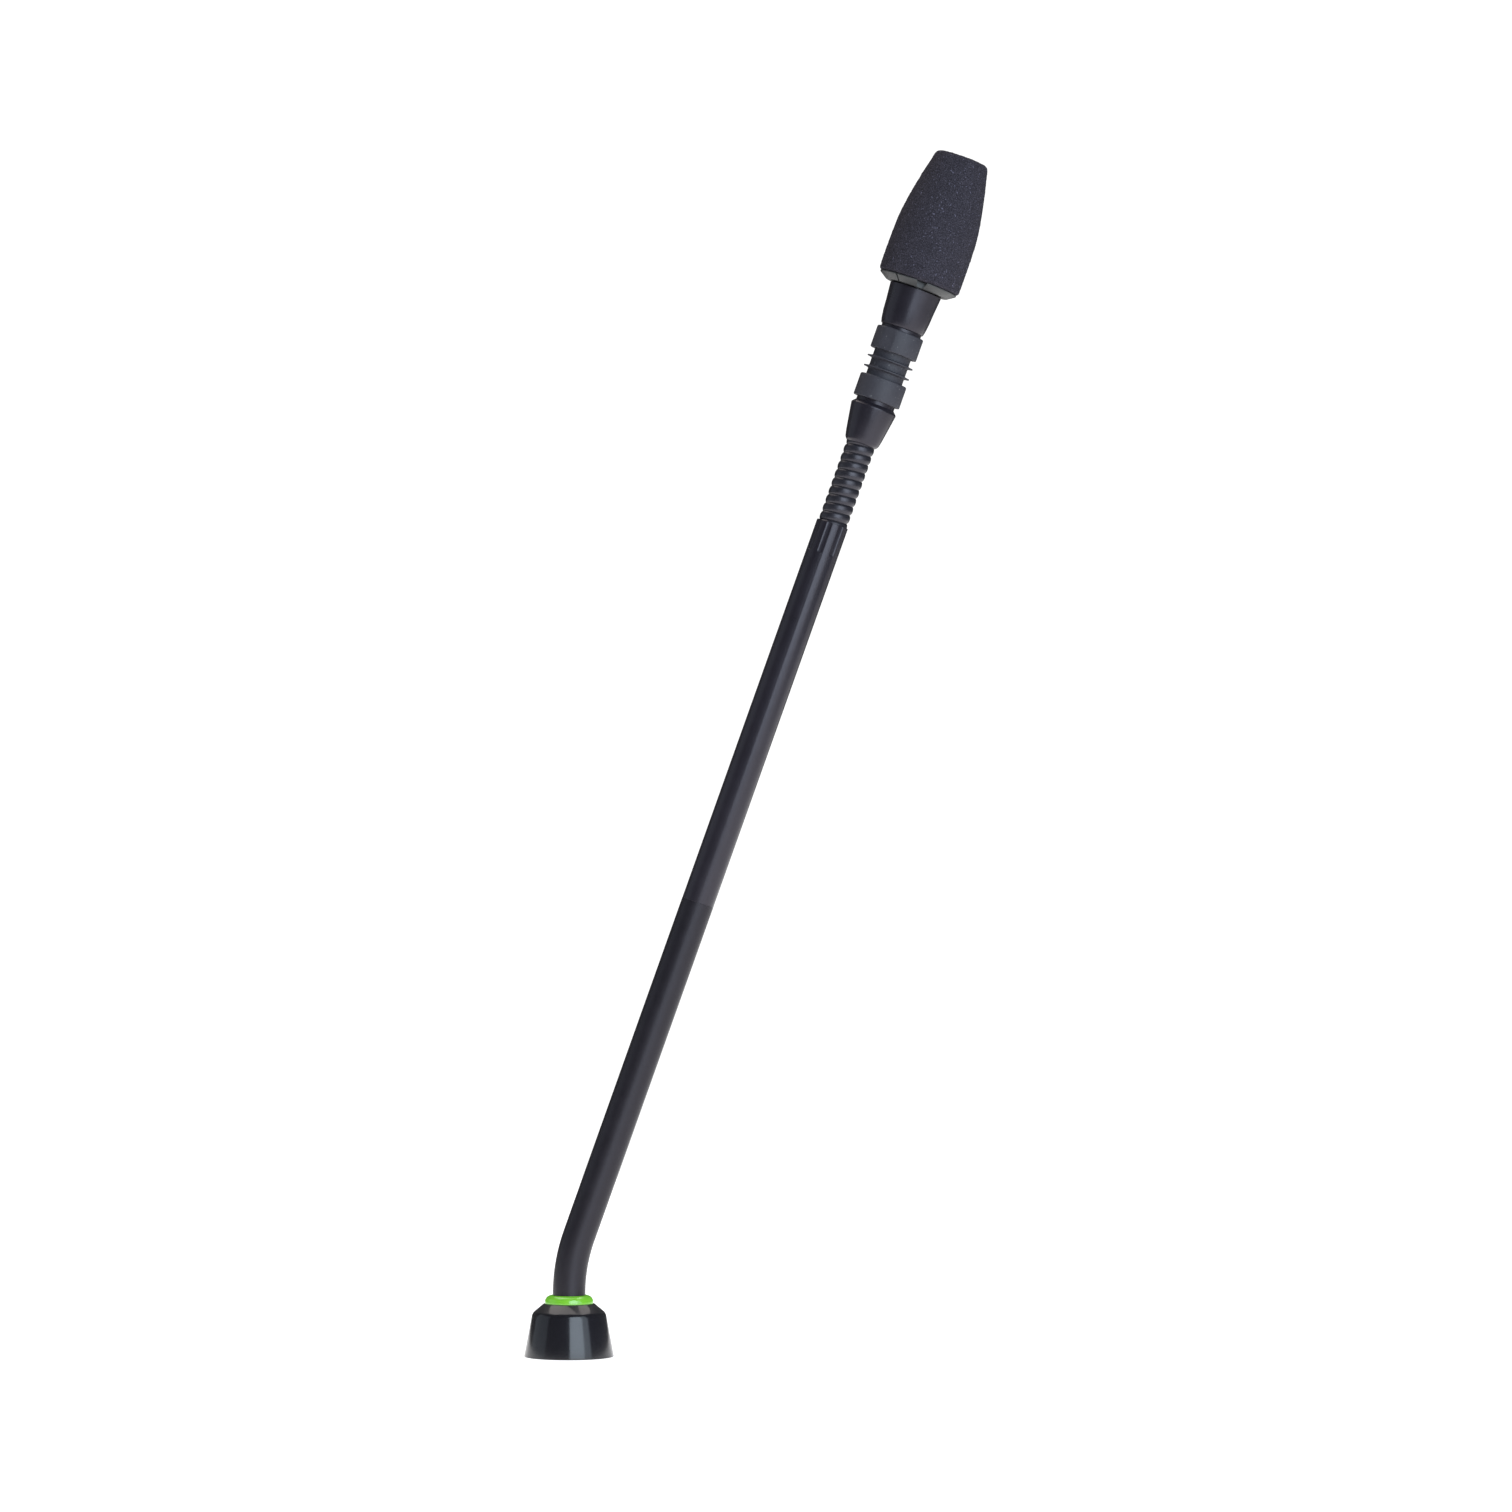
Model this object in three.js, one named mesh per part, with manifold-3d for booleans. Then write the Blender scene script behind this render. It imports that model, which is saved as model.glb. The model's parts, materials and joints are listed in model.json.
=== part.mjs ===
// Gooseneck podium microphone: a small cone-shaped base with a lit ring, a flexible lower neck, a rigid
// stem tube, a short ribbed upper neck, a rubber isolator, and a cartridge under a foam windscreen.
// Millimetres, +Z up, origin at the centre of the base's flat foot. The neck leans towards +X.
import * as THREE from 'three';
import { mergeVertices } from 'three/addons/utils/BufferGeometryUtils.js';
import Module from 'manifold-3d';

const wasm = await Module();
wasm.setup();

// ---- driving dimensions ------------------------------------------------------------------------

const CLEARANCE = 0.3;            // gap between pieces that meet face to face
const OUTER_SIDES = 28;           // facets round the pieces that show
const INNER_SIDES = 16;           // facets round the pieces inside

// base
const FOOT_RADIUS = 13.5;         // at the table
const SHOULDER_RADIUS = 11.1;     // top of the conical wall
const SHOULDER_HEIGHT = 13.0;
const DECK_RADIUS = 7.6;          // where the chamfer ends and the light ring stands
const DECK_HEIGHT = 15.9;
const DECK_THICKNESS = 2.6;
const HOUSING_RIM = 1.0;          // wall left outside the bottom plate
const HOUSING_WALL = 2.4;         // wall above the plate, beside its screws
const PLATE_THICKNESS = 2.0;
const PLATE_SCREWS = 3;
const SCREW_HEAD_RADIUS = 1.25;
const SCREW_RADIUS = 0.7;
const SCREW_LENGTH = 6.2;
const INSERT_RADIUS = 1.9;        // threaded inserts that take the podium's mounting screws
const INSERT_BORE = 1.25;
const SOCKET_RADIUS = 2.5;        // output socket
const SOCKET_WALL = 0.5;
const SOCKET_DEPTH = 4.1;         // height above the foot of the sockets and inserts
const PIN_RADIUS = 0.35;
const FITTINGS_CIRCLE = 6.4;      // distance of socket and inserts from the axis
const BOARD_THICKNESS = 0.8;
const LED_SIZE = 0.9;
const LED_COUNT = 4;
const RING_RADIUS = 7.3;          // light ring
const RING_HEIGHT = 2.5;
const RING_SKIRT = 0.9;           // wall of the skirt that leads the light up through the deck

// lower neck
const NECK_RADIUS = 4.9;
const NECK_BORE = 2.0;
const NECK_START = 18.8;          // height at which the flexible length begins
const NECK_LENGTH = 123.9;        // flexible length along its axis
const NECK_HINGES = 9;
const LINK_GAP = 1.5;             // bare length at each hinge, so that the links clear when bent
const BEND_RADIUS = 52;           // the rest bend at the foot of the neck
const LEAN = THREE.MathUtils.degToRad(19.6);
const PLUG_RADIUS = 3.5;          // shank that turns in the base
const PLUG_WALL = 1.2;            // wall of the bush round the shank
const GUIDE_SCREW_RADIUS = 0.9;
const GROOVE_DEPTH = 0.7;         // groove in the shank that the guide screws ride in

// stem tube and upper neck
const TUBE_RADIUS = 4.875;
const TUBE_WALL = 0.6;
const TUBE_LENGTH = 120.6;
const CRIMP_LENGTH = 13;
const CRIMP_DEPTH = 0.14;
const SPIGOT_LENGTH = 9;          // how far each neck's end fitting reaches into the tube
const RIB_RADIUS = 4.5;
const RIB_DEPTH = 0.5;
const RIB_PITCH = 2.67;
const RIB_HINGES = 4;
const RIB_GAP = 1.4;              // bare length at each hinge of the upper neck
const UPPER_LENGTH = 24.8;

// head
const FERRULE_RADIUS = 7.07;
const FERRULE_NECK = 5.1;         // radius at the ferrule's lower end
const FERRULE_LENGTH = 13.0;
const COLLAR_RADIUS = 7.25;       // rubber isolator
const COLLAR_LENGTH = 6.9;
const WAIST_RADIUS = 5.7;
const WAIST_LENGTH = 8.2;         // between the two collars
const FIN_RADIUS = 7.1;
const FIN_THICKNESS = 0.9;
const ISOLATOR_BORE = 3.0;
const TILT_GAP = 0.8;             // room for the head to tilt on the rubber
const GROOVE_LENGTH = 1.1;        // narrow grooves above and below the isolator
const GROOVE_RADIUS = 5.95;
const HOUSING_FOOT_RADIUS = 6.95; // cartridge housing, lower end
const HOUSING_TOP_RADIUS = 8.0;
const HOUSING_LENGTH = 12.1;
const CARTRIDGE_RADIUS = 6.0;
const CARTRIDGE_WALL = 0.6;
const CARTRIDGE_REACH = 28;       // how far the barrel stands up inside the windscreen
const BARREL_SEAT = 6.7;          // how deep the barrel sits in its housing
const BARREL_SLOTS = 6;
const SLOT_WIDTH = 1.6;
const SLOT_HEIGHT = 7;

// windscreen
const CLIP_FOOT_RADIUS = 9.6;
const CLIP_RADIUS = 12.5;
const CLIP_HEIGHT = 1.9;
const CLIP_SLEEVE = 0.8;          // wall of the sleeve that grips the barrel
const CLIP_SLEEVE_LENGTH = 9;
const CLIP_SLOTS = 3;
const FOAM_RADIUS = 12.62;
const FOAM_LENGTH = 39.5;
const FOAM_TOP_RADIUS = 7.6;
const CABLE_RADIUS = 1.1;

// ---- stations along the leaning axis, counted from where it meets the base's axis ----------------

const BEND_LENGTH = BEND_RADIUS * LEAN;
const TURN_HEIGHT = NECK_START + BEND_RADIUS * Math.tan(LEAN / 2);
const BEND_END = BEND_RADIUS * Math.tan(LEAN / 2);
const TUBE_START = BEND_END + NECK_LENGTH - BEND_LENGTH;
const TUBE_END = TUBE_START + TUBE_LENGTH;
const FERRULE_START = TUBE_END + UPPER_LENGTH;
const LOWER_COLLAR_START = FERRULE_START + FERRULE_LENGTH + GROOVE_LENGTH;
const WAIST_START = LOWER_COLLAR_START + COLLAR_LENGTH;
const UPPER_COLLAR_START = WAIST_START + WAIST_LENGTH;
const HOUSING_START = UPPER_COLLAR_START + COLLAR_LENGTH + CLEARANCE;
const HOUSING_END = HOUSING_START + HOUSING_LENGTH + GROOVE_LENGTH;
const CLIP_START = HOUSING_END + CLEARANCE;
const FOAM_START = CLIP_START + CLIP_HEIGHT + CLEARANCE;

const PLATE_RADIUS = FOOT_RADIUS - HOUSING_RIM - CLEARANCE;
const WALL_SLOPE = (FOOT_RADIUS - SHOULDER_RADIUS) / SHOULDER_HEIGHT;
const CAVITY_RADIUS = FOOT_RADIUS - WALL_SLOPE * (PLATE_THICKNESS + SCREW_LENGTH) - HOUSING_WALL;
const SCREW_CIRCLE = CAVITY_RADIUS + SCREW_RADIUS + 2 * CLEARANCE;
const BUSH_RADIUS = PLUG_RADIUS + CLEARANCE + PLUG_WALL;
const SKIRT_RADIUS = NECK_RADIUS + CLEARANCE + RING_SKIRT;
const DECK_BORE = SKIRT_RADIUS + CLEARANCE;
const CEILING = DECK_HEIGHT - DECK_THICKNESS;
const BOARD_HEIGHT = SOCKET_DEPTH + CLEARANCE;
const LED_BOARD_TOP = CEILING - LED_SIZE - 2 * CLEARANCE;
const BUSH_TOP = LED_BOARD_TOP;
const BUSH_BOTTOM = BOARD_HEIGHT;
const SCREW_NECK = PLATE_THICKNESS * 0.6;   // where each plate screw's taper ends
const GUIDE_HEIGHT = (BUSH_TOP + BOARD_HEIGHT + BOARD_THICKNESS) / 2;
const RIB_STEP = UPPER_LENGTH / RIB_HINGES;
const LINK_STEP = NECK_LENGTH / NECK_HINGES;

// ---- finishes ----------------------------------------------------------------------------------

const finish = (color, roughness, metalness) => new THREE.MeshStandardMaterial({ color, roughness, metalness });
const glossBlack = () => finish(0x0b0b0d, 0.16, 0);
const satinBlack = () => finish(0x1b1b20, 0.4, 0.2);
const sleeveBlack = () => finish(0x161618, 0.62, 0);
const rubberGrey = () => finish(0x2a2a2d, 0.75, 0);
const clipGrey = () => finish(0x5a5a60, 0.5, 0);
const foamCharcoal = () => finish(0x242329, 0.98, 0);
const limeLight = () => finish(0x7bd83a, 0.4, 0);
const brass = () => finish(0xb08d4a, 0.3, 1);
const steel = () => finish(0x9a9a9e, 0.35, 1);
const aluminium = () => finish(0xb4b6ba, 0.4, 1);
const boardGreen = () => finish(0x1d5130, 0.55, 0);
const whitePlastic = () => finish(0xe8e8e0, 0.4, 0);

// ---- ways of making a piece --------------------------------------------------------------------

/** A closed body turned about Z from an outline of [radius, height], listed up the outside and down the inside. */
function turned(outline, sides = OUTER_SIDES) {
  const points = outline.map(([radius, height]) => new THREE.Vector2(radius, height));
  const onAxis = points[0].x === 0 && points.at(-1).x === 0;
  if (!onAxis) points.push(points[0].clone());
  return new THREE.LatheGeometry(points, sides).rotateX(Math.PI / 2);
}

/** A plain ring or pipe between two radii and two heights. */
function pipe(outer, inner, bottom, top, sides = INNER_SIDES) {
  return turned([[outer, bottom], [outer, top], [inner, top], [inner, bottom]], sides);
}

/** A plain disc or rod. */
function rod(radius, bottom, top, sides = INNER_SIDES) {
  return turned([[0, bottom], [radius, bottom], [radius, top], [0, top]], sides);
}

/** A round cup with its mouth down. */
function cupDown(outer, inner, bottom, top, floor, sides = INNER_SIDES) {
  return turned([[0, top - floor], [inner, top - floor], [inner, bottom], [outer, bottom], [outer, top], [0, top]],
    sides);
}

/** A round cup with its mouth up. */
function cupUp(outer, inner, bottom, top, floor, sides = INNER_SIDES) {
  return turned([[0, bottom], [outer, bottom], [outer, top], [inner, top], [inner, bottom + floor],
    [0, bottom + floor]], sides);
}

/** Points [radius, height] along an arc, in degrees from the outward direction. */
function arc(centreRadius, centreHeight, radius, from, to, steps = 4) {
  return Array.from({ length: steps + 1 }, (_, i) => {
    const angle = THREE.MathUtils.degToRad(from + ((to - from) * i) / steps);
    return [centreRadius + radius * Math.cos(angle), centreHeight + radius * Math.sin(angle)];
  });
}

function toSolid(geometry) {
  const bare = geometry.clone();
  bare.deleteAttribute('normal');
  bare.deleteAttribute('uv');
  const merged = mergeVertices(bare, 1e-4);
  return new wasm.Manifold(new wasm.Mesh({
    numProp: 3,
    vertProperties: new Float32Array(merged.attributes.position.array),
    triVerts: new Uint32Array(merged.index.array),
  }));
}

/** The geometry with each of the tools cut away. */
function cut(geometry, tools) {
  const solid = tools.reduce((left, tool) => left.subtract(toSolid(tool)), toSolid(geometry));
  const mesh = solid.getMesh();
  const result = new THREE.BufferGeometry();
  result.setAttribute('position', new THREE.BufferAttribute(new Float32Array(mesh.vertProperties), 3));
  result.setIndex(new THREE.BufferAttribute(new Uint32Array(mesh.triVerts), 1));
  result.computeVertexNormals();
  return result;
}

function piece(name, geometry, material) {
  const mesh = new THREE.Mesh(geometry, material);
  mesh.name = name;
  return mesh;
}

/** The same piece at even steps round the Z axis, each copy with its own name and mesh. */
function roundTheAxis(name, count, radius, startDegrees, make) {
  return Array.from({ length: count }, (_, i) => {
    const angle = THREE.MathUtils.degToRad(startDegrees) + (2 * Math.PI * i) / count;
    const copy = make(`${name}_${i + 1}`);
    copy.position.x = radius * Math.cos(angle);
    copy.position.y = radius * Math.sin(angle);
    copy.rotation.z = angle;
    return copy;
  });
}

/** Cutting tools at even steps round the Z axis. */
function toolsRound(count, radius, startDegrees, make) {
  return Array.from({ length: count }, (_, i) => {
    const angle = THREE.MathUtils.degToRad(startDegrees) + (2 * Math.PI * i) / count;
    return make().translate(radius, 0, 0).rotateZ(angle);
  });
}

// ---- base --------------------------------------------------------------------------------------

// Places round the base, in degrees from the side that the neck leans to.
const SCREW_START = 150;
const INSERT_START = 210;
const INSERT_STEP = 120;
const SOCKET_ANGLE = 90;

const CUP_FLOOR = 0.7;            // closed end of the socket and the inserts
const RECESS = 0.1;               // how far screws, inserts and socket stand back from the foot
const LEDGE = 1.8;                // step under the ceiling that the lamp board is pressed against

/** Painted cone, hollow from below, with a bore in its deck for the light ring's skirt. */
function baseHousing() {
  const edge = 0.3;
  const shell = turned([
    [FOOT_RADIUS - edge, 0],
    [FOOT_RADIUS, edge],
    [SHOULDER_RADIUS + 0.15, SHOULDER_HEIGHT - 1],
    [SHOULDER_RADIUS - 0.1, SHOULDER_HEIGHT - 0.25],
    [SHOULDER_RADIUS - 0.55, SHOULDER_HEIGHT + 0.45],
    [DECK_RADIUS, DECK_HEIGHT],
    [DECK_BORE, DECK_HEIGHT],
    [DECK_BORE, CEILING],
    [CAVITY_RADIUS - LEDGE, CEILING],
    [CAVITY_RADIUS - LEDGE, LED_BOARD_TOP + CLEARANCE],
    [CAVITY_RADIUS, LED_BOARD_TOP + CLEARANCE],
    [CAVITY_RADIUS, PLATE_THICKNESS + CLEARANCE],
    [FOOT_RADIUS - HOUSING_RIM, PLATE_THICKNESS + CLEARANCE],
    [FOOT_RADIUS - HOUSING_RIM, 0],
  ]);
  const pilotHole = () => rod(SCREW_RADIUS + CLEARANCE / 2, 0, SCREW_LENGTH + CLEARANCE, 10);
  const cuts = toolsRound(PLATE_SCREWS, SCREW_CIRCLE, SCREW_START, pilotHole);
  return piece('base_housing', cut(shell, cuts), glossBlack());
}

/** Bottom plate, with countersunk holes for its screws and holes for the socket and the inserts. */
function basePlate() {
  const screwHole = () => turned([
    [0, -1],
    [SCREW_HEAD_RADIUS + CLEARANCE, -1],
    [SCREW_HEAD_RADIUS + CLEARANCE, 0.2],
    [SCREW_RADIUS + CLEARANCE, SCREW_NECK],
    [SCREW_RADIUS + CLEARANCE, PLATE_THICKNESS + 1],
    [0, PLATE_THICKNESS + 1],
  ], 12);
  const cuts = [
    ...toolsRound(PLATE_SCREWS, SCREW_CIRCLE, SCREW_START, screwHole),
    ...toolsRound(1, FITTINGS_CIRCLE, SOCKET_ANGLE,
      () => rod(SOCKET_RADIUS + CLEARANCE, -1, PLATE_THICKNESS + 1)),
    ...[0, 1].map((i) => rod(INSERT_RADIUS + CLEARANCE, -1, PLATE_THICKNESS + 1)
      .translate(FITTINGS_CIRCLE, 0, 0)
      .rotateZ(THREE.MathUtils.degToRad(INSERT_START + INSERT_STEP * i))),
  ];
  return piece('base_plate', cut(rod(PLATE_RADIUS, 0, PLATE_THICKNESS, OUTER_SIDES), cuts), satinBlack());
}

/** Slotted countersunk screws that hold the bottom plate. */
function plateScrews() {
  return roundTheAxis('plate_screw', PLATE_SCREWS, SCREW_CIRCLE, SCREW_START, (name) => {
    const body = turned([
      [0, RECESS],
      [SCREW_HEAD_RADIUS, RECESS],
      [SCREW_HEAD_RADIUS, 3 * RECESS],
      [SCREW_RADIUS, SCREW_NECK],
      [SCREW_RADIUS, SCREW_LENGTH],
      [0, SCREW_LENGTH],
    ], 12);
    const slot = new THREE.BoxGeometry(SCREW_HEAD_RADIUS * 3, 0.35, 0.8);
    return piece(name, cut(body, [slot]), steel());
  });
}

/** Blind threaded inserts for the two screws that hold the base down from below. */
function mountingInserts() {
  return [0, 1].map((i) => {
    const angle = THREE.MathUtils.degToRad(INSERT_START + INSERT_STEP * i);
    const insert = piece(`mounting_insert_${i + 1}`,
      cupDown(INSERT_RADIUS, INSERT_BORE, RECESS, SOCKET_DEPTH, CUP_FLOOR), brass());
    insert.position.set(FITTINGS_CIRCLE * Math.cos(angle), FITTINGS_CIRCLE * Math.sin(angle), 0);
    return insert;
  });
}

/** Round output socket with three pins, open downwards. */
function outputSocket() {
  const shell = cupDown(SOCKET_RADIUS, SOCKET_RADIUS - SOCKET_WALL, RECESS, SOCKET_DEPTH, CUP_FLOOR);
  const parts = [piece('output_socket', shell, steel())];
  const top = SOCKET_DEPTH - CUP_FLOOR - CLEARANCE;
  const pinCircle = (SOCKET_RADIUS - SOCKET_WALL) / 2;
  parts.push(...roundTheAxis('socket_pin', 3, pinCircle, 90, (name) =>
    piece(name, rod(PIN_RADIUS, 1.0, top, 8), brass())));
  const group = new THREE.Group();
  const angle = THREE.MathUtils.degToRad(SOCKET_ANGLE);
  group.position.set(FITTINGS_CIRCLE * Math.cos(angle), FITTINGS_CIRCLE * Math.sin(angle), 0);
  group.add(...parts);
  return group;
}

/** Round board over the plate, with the amplifier chip and two capacitors. */
function preampBoard() {
  const top = BOARD_HEIGHT + BOARD_THICKNESS;
  const inner = BUSH_RADIUS + CLEARANCE;
  const outer = CAVITY_RADIUS - CLEARANCE;
  const middle = (inner + outer) / 2;
  const half = (outer - inner) / 2 - 2 * CLEARANCE;
  const board = piece('preamp_board', pipe(outer, inner, BOARD_HEIGHT, top), boardGreen());
  const chip = piece('preamp_chip', new THREE.BoxGeometry(2 * half, 3.4, 0.9), satinBlack());
  chip.position.set(-middle, 0, top + CLEARANCE + 0.45);
  const capacitors = roundTheAxis('coupling_capacitor', 2, middle, 0, (name) =>
    piece(name, rod(half, top + CLEARANCE, LED_BOARD_TOP - BOARD_THICKNESS - CLEARANCE, 12), aluminium()));
  capacitors[1].position.set(0, -middle, 0);
  return [board, chip, ...capacitors];
}

/** Round board under the deck, with the lamps that light the ring. */
function ledBoard() {
  const outer = CAVITY_RADIUS - CLEARANCE;
  const board = piece('led_board',
    pipe(outer, BUSH_RADIUS + CLEARANCE, LED_BOARD_TOP - BOARD_THICKNESS, LED_BOARD_TOP), boardGreen());
  const leds = roundTheAxis('led', LED_COUNT, SKIRT_RADIUS - RING_SKIRT / 2, 45, (name) => {
    const led = piece(name, new THREE.BoxGeometry(LED_SIZE, LED_SIZE * 1.4, LED_SIZE), whitePlastic());
    led.position.z = LED_BOARD_TOP + CLEARANCE + LED_SIZE / 2;
    return led;
  });
  return [board, ...leds];
}

/** Clear ring with a domed top; its skirt stands in the deck's bore over the LEDs. */
function lightRing() {
  const foot = DECK_HEIGHT + CLEARANCE;
  const inner = NECK_RADIUS + CLEARANCE;
  const dome = RING_HEIGHT - CLEARANCE;
  const rim = 0.25;
  const skirtFoot = LED_BOARD_TOP + LED_SIZE + 2.5 * CLEARANCE;
  const steps = 5;
  const outline = [
    [inner, skirtFoot],
    [SKIRT_RADIUS, skirtFoot],
    [SKIRT_RADIUS, foot],
    [RING_RADIUS, foot],
    ...Array.from({ length: steps + 1 }, (_, i) => {
      const angle = (Math.PI / 2) * (i / steps);
      const flat = inner + CLEARANCE;
      return [flat + (RING_RADIUS - flat) * Math.cos(angle), foot + rim + (dome - rim) * Math.sin(angle)];
    }),
    [inner, foot + dome],
  ];
  return piece('light_ring', turned(outline), limeLight());
}

/** Bush in the middle of the base: the neck's shank turns in it, held by two guide screws. */
function neckSocket() {
  const bush = pipe(BUSH_RADIUS, PLUG_RADIUS + CLEARANCE, BUSH_BOTTOM, BUSH_TOP, 24);
  const hole = () => new THREE.CylinderGeometry(GUIDE_SCREW_RADIUS + CLEARANCE, GUIDE_SCREW_RADIUS + CLEARANCE,
    3 * PLUG_WALL, 12).rotateZ(Math.PI / 2).translate(0, 0, GUIDE_HEIGHT);
  const socket = piece('neck_socket', cut(bush, toolsRound(2, BUSH_RADIUS, 45, hole)), brass());
  const tip = PLUG_RADIUS - GROOVE_DEPTH + CLEARANCE;
  const length = BUSH_RADIUS + CLEARANCE - tip;
  const screws = roundTheAxis('guide_screw', 2, tip + length / 2, 45, (name) => {
    const screw = piece(name, new THREE.CylinderGeometry(GUIDE_SCREW_RADIUS, GUIDE_SCREW_RADIUS, length, 10)
      .rotateZ(Math.PI / 2), steel());
    screw.position.z = GUIDE_HEIGHT;
    return screw;
  });
  return [socket, ...screws];
}

// ---- lower neck --------------------------------------------------------------------------------

/** A point on the neck's axis, at a length along it from where the flexible part begins. */
function neckPoint(length, target = new THREE.Vector3()) {
  const turn = THREE.MathUtils.clamp(length / BEND_RADIUS, 0, LEAN);
  const before = Math.min(length, 0);
  const after = Math.max(length - BEND_LENGTH, 0);
  return target.set(
    BEND_RADIUS * (1 - Math.cos(turn)) + after * Math.sin(LEAN),
    0,
    NECK_START + before + BEND_RADIUS * Math.sin(turn) + after * Math.cos(LEAN),
  );
}

class NeckAxis extends THREE.Curve {
  constructor(from, to) {
    super();
    this.from = from;
    this.to = to;
  }

  getPoint(t, target) {
    return neckPoint(this.from + t * (this.to - this.from), target);
  }
}

/** A stretch of round tube along the neck's axis. */
function alongNeck(from, to, outer, inner, steps, sides) {
  const section = new THREE.Shape(circlePoints(outer, sides));
  if (inner > 0) section.holes.push(new THREE.Path(circlePoints(inner, Math.round(sides / 2))));
  return new THREE.ExtrudeGeometry(section, { steps, extrudePath: new NeckAxis(from, to) });
}

function circlePoints(radius, sides) {
  return Array.from({ length: sides }, (_, i) =>
    new THREE.Vector2(radius, 0).rotateAround(new THREE.Vector2(), (2 * Math.PI * i) / sides));
}

/** The shank that turns in the base, with its groove, and the neck's first bare stretch on top of it. */
function neckPlug() {
  const groove = GUIDE_SCREW_RADIUS + CLEARANCE;
  const shoulder = BUSH_TOP + CLEARANCE;
  const outline = [
    [PLUG_RADIUS, BUSH_BOTTOM],
    [PLUG_RADIUS, GUIDE_HEIGHT - groove],
    [PLUG_RADIUS - GROOVE_DEPTH, GUIDE_HEIGHT - groove],
    [PLUG_RADIUS - GROOVE_DEPTH, GUIDE_HEIGHT + groove],
    [PLUG_RADIUS, GUIDE_HEIGHT + groove],
    [PLUG_RADIUS, shoulder],
    [NECK_RADIUS - CLEARANCE, shoulder],
    [NECK_RADIUS - CLEARANCE, NECK_START - CLEARANCE],
    [NECK_BORE, NECK_START - CLEARANCE],
    [NECK_BORE, BUSH_BOTTOM],
  ];
  return piece('neck_plug', turned(outline, 20), steel());
}

/** The neck's wound and sleeved length, cut at each hinge. */
function neckLinks() {
  return Array.from({ length: NECK_HINGES + 1 }, (_, i) => {
    const from = i === 0 ? 0 : (i - 0.5) * LINK_STEP + LINK_GAP / 2;
    const to = i === NECK_HINGES ? NECK_LENGTH - CLEARANCE : (i + 0.5) * LINK_STEP - LINK_GAP / 2;
    const steps = from < BEND_LENGTH ? 4 : 1;
    return piece(`neck_link_${i + 1}`, alongNeck(from, to, NECK_RADIUS, NECK_BORE, steps, 20), sleeveBlack());
  });
}

// ---- everything above the lower neck stands on the leaning axis ---------------------------------

/** End fitting of the lower neck, which turns in the foot of the stem tube. */
function tubePlug() {
  const inside = TUBE_RADIUS - TUBE_WALL - CLEARANCE;
  return piece('tube_plug',
    pipe(inside, NECK_BORE, TUBE_START + CLEARANCE, TUBE_START + SPIGOT_LENGTH), steel());
}

/** Stem tube, drawn in slightly over its top end where it is crimped on the upper neck's fitting. */
function stemTube() {
  const crimp = TUBE_RADIUS - CRIMP_DEPTH;
  const shoulder = TUBE_END - CRIMP_LENGTH;
  return piece('stem_tube', turned([
    [TUBE_RADIUS, TUBE_START],
    [TUBE_RADIUS, shoulder - 1],
    [crimp, shoulder],
    [crimp, TUBE_END - 0.3],
    [crimp - 0.3, TUBE_END],
    [TUBE_RADIUS - TUBE_WALL, TUBE_END],
    [TUBE_RADIUS - TUBE_WALL, TUBE_START],
  ]), satinBlack());
}

/** End fitting of the upper neck, crimped in the top of the stem tube. */
function upperPlug() {
  const inside = TUBE_RADIUS - TUBE_WALL - CLEARANCE;
  return piece('upper_plug', turned([
    [inside, TUBE_END - SPIGOT_LENGTH],
    [inside, TUBE_END],
    [RIB_RADIUS - RIB_DEPTH, TUBE_END + CLEARANCE],
    [RIB_RADIUS - RIB_DEPTH, TUBE_END + (RIB_STEP - RIB_GAP) / 2],
    [NECK_BORE, TUBE_END + (RIB_STEP - RIB_GAP) / 2],
    [NECK_BORE, TUBE_END - SPIGOT_LENGTH],
  ], 20), steel());
}

/** The ribbed upper neck, cut at each hinge into short lengths with two crests each. */
function ribLinks() {
  const valley = RIB_RADIUS - RIB_DEPTH;
  return Array.from({ length: RIB_HINGES - 1 }, (_, i) => {
    const middle = TUBE_END + (i + 1) * RIB_STEP;
    const half = (RIB_STEP - RIB_GAP) / 2;
    const crest = (centre) => [
      [RIB_RADIUS, centre - RIB_PITCH / 8],
      [RIB_RADIUS, centre + RIB_PITCH / 8],
    ];
    return piece(`rib_link_${i + 1}`, turned([
      [valley, middle - half],
      ...crest(middle - half / 2),
      [valley, middle],
      ...crest(middle + half / 2),
      [valley, middle + half],
      [NECK_BORE, middle + half],
      [NECK_BORE, middle - half],
    ], 20), sleeveBlack());
  });
}

/** Fitting on the upper neck's far end, which carries the ferrule. */
function ferrulePlug() {
  const stub = FERRULE_START - (RIB_STEP - RIB_GAP) / 2;
  const inside = FERRULE_NECK - 1.2 - CLEARANCE;
  return piece('ferrule_plug', turned([
    [inside, stub],
    [inside, FERRULE_START + FERRULE_LENGTH - 3],
    [NECK_BORE, FERRULE_START + FERRULE_LENGTH - 3],
    [NECK_BORE, stub],
  ], 20), steel());
}

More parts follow.
